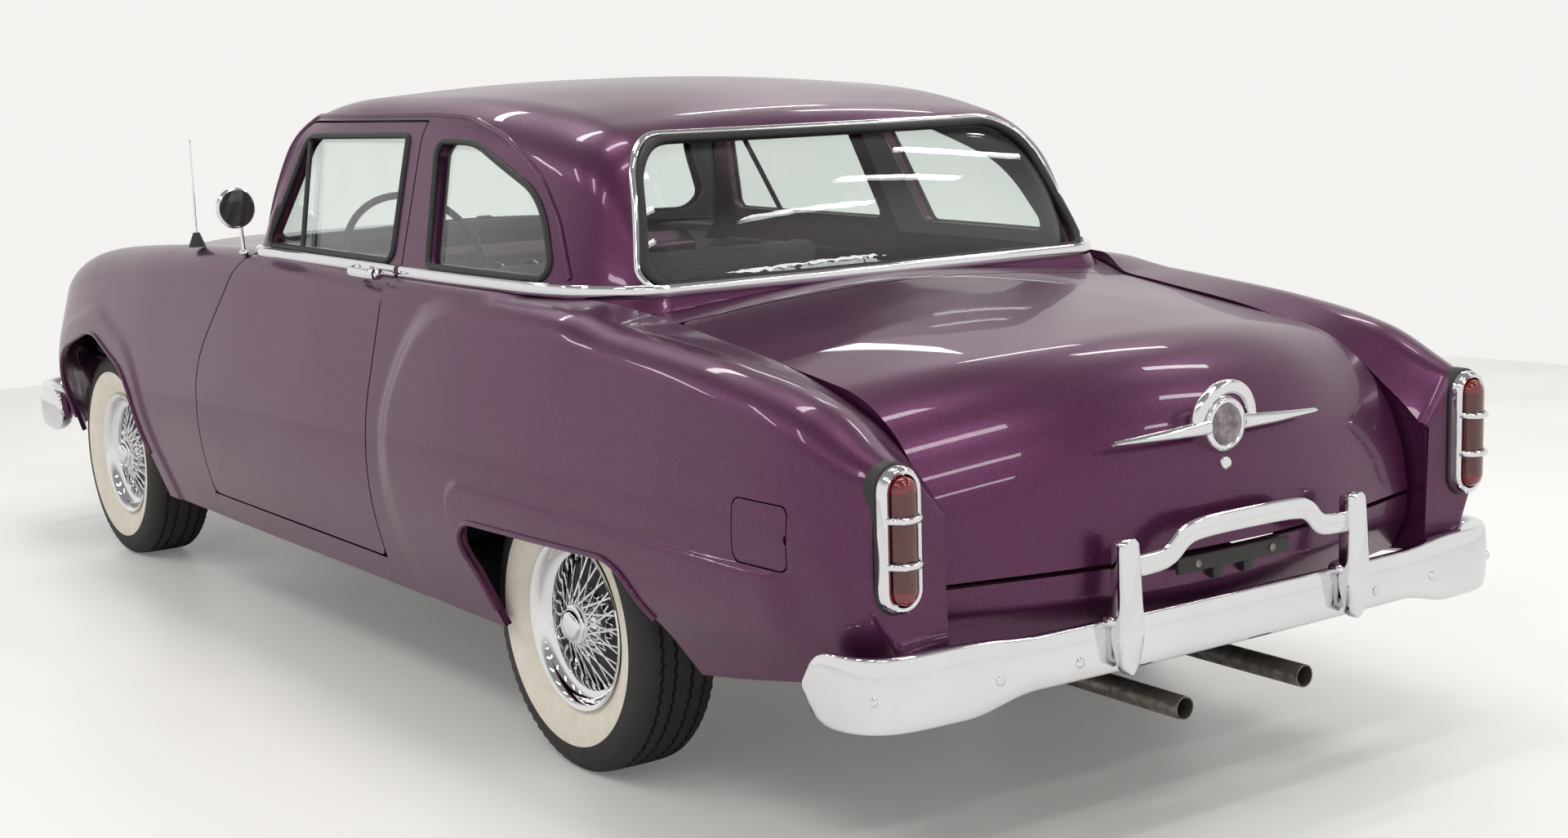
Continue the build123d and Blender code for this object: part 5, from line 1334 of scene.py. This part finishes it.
class ClubSedanSettings(bpy.types.PropertyGroup):
    """Sizes and colours of the car and its stage."""
    paint: tint("Paint", "Colour of the body under its flakes", (0.085, 0.014, 0.060))
    whitewall: tint("Whitewall", "Colour of the band on the tyres", (0.92, 0.86, 0.75))
    cloth: tint("Seat cloth", "Darker thread of the seats", (0.17, 0.165, 0.17))
    lens: tint("Tail lens", "Colour of the tail lamp lenses", (0.22, 0.006, 0.008))
    panel_gap: length("Panel gap", "Gap round the doors", 0.006)
    spoke_radius: length("Spoke radius", "Radius of the wheel spokes", 0.0028)
    tread_depth: length("Tread depth", "Depth of the tyre grooves", 0.008)
    belt_height: length("Belt height", "Height of the belt mouldings", 0.034)
    seat_fill: FloatProperty(name="Seat fill", description="How full the seats are", subtype="FACTOR",
                             min=0, max=1, default=0.7)
    floor: tint("Floor", "Colour of the floor", (0.90, 0.89, 0.865))
    room: tint("Room", "Colour of the room", (0.90, 0.89, 0.87))
    ceiling: tint("Ceiling", "Colour of the ceiling as seen in reflections", (0.30, 0.29, 0.28))
    room_light: FloatProperty(name="Room light", description="Light from the room on matt surfaces",
                              min=0, max=1, default=0.62)
    strip_power: FloatProperty(name="Strip power", description="Power of each ceiling strip", unit="POWER",
                               min=0, default=16)
    floor_radius: length("Floor radius", "Radius of the round floor", 6.2)
    floor_glow: FloatProperty(name="Floor glow", description="White added to the floor in view",
                              min=0, max=1, default=0.14)


class ClubSedanStep:
    """One build step on the scene's settings."""
    bl_options = {"REGISTER", "UNDO"}

    def execute(self, context):
        self.build(context.scene.club_sedan)
        return {"FINISHED"}


class CLUBSEDAN_OT_solids(ClubSedanStep, bpy.types.Operator):
    """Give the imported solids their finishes"""
    bl_idname = "club_sedan.solids"
    bl_label = "Finish solids"
    build = staticmethod(build_solids)


class CLUBSEDAN_OT_panels(ClubSedanStep, bpy.types.Operator):
    """Build the painted skins"""
    bl_idname = "club_sedan.panels"
    bl_label = "Body panels"
    build = staticmethod(build_panels)


class CLUBSEDAN_OT_wheels(ClubSedanStep, bpy.types.Operator):
    """Build the tyres, wire wheels and drums"""
    bl_idname = "club_sedan.wheels"
    bl_label = "Wheels"
    build = staticmethod(build_wheels)


class CLUBSEDAN_OT_bumpers(ClubSedanStep, bpy.types.Operator):
    """Build the bumpers, guards and plate carrier"""
    bl_idname = "club_sedan.bumpers"
    bl_label = "Bumpers"
    build = staticmethod(build_bumpers)


class CLUBSEDAN_OT_lamps(ClubSedanStep, bpy.types.Operator):
    """Build the tail and head lamps"""
    bl_idname = "club_sedan.lamps"
    bl_label = "Lamps"
    build = staticmethod(build_lamps)


class CLUBSEDAN_OT_trim(ClubSedanStep, bpy.types.Operator):
    """Build the seals, mouldings, rails and handles"""
    bl_idname = "club_sedan.trim"
    bl_label = "Trim"
    build = staticmethod(build_trim)


class CLUBSEDAN_OT_ornament(ClubSedanStep, bpy.types.Operator):
    """Build the ornament and lock on the luggage lid"""
    bl_idname = "club_sedan.ornament"
    bl_label = "Lid ornament"
    build = staticmethod(build_ornament)


class CLUBSEDAN_OT_fittings(ClubSedanStep, bpy.types.Operator):
    """Build the mirror, antenna and dials"""
    bl_idname = "club_sedan.fittings"
    bl_label = "Fittings"
    build = staticmethod(build_fittings)


class CLUBSEDAN_OT_seats(ClubSedanStep, bpy.types.Operator):
    """Build the padded seats"""
    bl_idname = "club_sedan.seats"
    bl_label = "Seats"
    build = staticmethod(build_seats)


class CLUBSEDAN_OT_stage(ClubSedanStep, bpy.types.Operator):
    """Set the floor, room, lights and camera"""
    bl_idname = "club_sedan.stage"
    bl_label = "Stage"
    build = staticmethod(build_stage)


STEPS = (CLUBSEDAN_OT_solids, CLUBSEDAN_OT_panels, CLUBSEDAN_OT_wheels, CLUBSEDAN_OT_bumpers,
         CLUBSEDAN_OT_lamps, CLUBSEDAN_OT_trim, CLUBSEDAN_OT_ornament, CLUBSEDAN_OT_fittings,
         CLUBSEDAN_OT_seats, CLUBSEDAN_OT_stage)


class CLUBSEDAN_PT_build(bpy.types.Panel):
    """Settings and build steps of the car"""
    bl_label = "Club sedan"
    bl_space_type = "VIEW_3D"
    bl_region_type = "UI"
    bl_category = "Club sedan"

    def draw(self, context):
        for key in ClubSedanSettings.__annotations__:
            self.layout.prop(context.scene.club_sedan, key)
        for step in STEPS:
            self.layout.operator(step.bl_idname)


CLASSES = (ClubSedanSettings, *STEPS, CLUBSEDAN_PT_build)


def register():
    for cls in CLASSES:
        bpy.utils.register_class(cls)
    bpy.types.Scene.club_sedan = PointerProperty(type=ClubSedanSettings)


def unregister():
    del bpy.types.Scene.club_sedan
    for cls in reversed(CLASSES):
        bpy.utils.unregister_class(cls)


def main():
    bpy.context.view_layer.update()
    register()
    for step in STEPS:
        area, name = step.bl_idname.split(".")
        getattr(getattr(bpy.ops, area), name)()


if __name__ == "__main__":
    main()
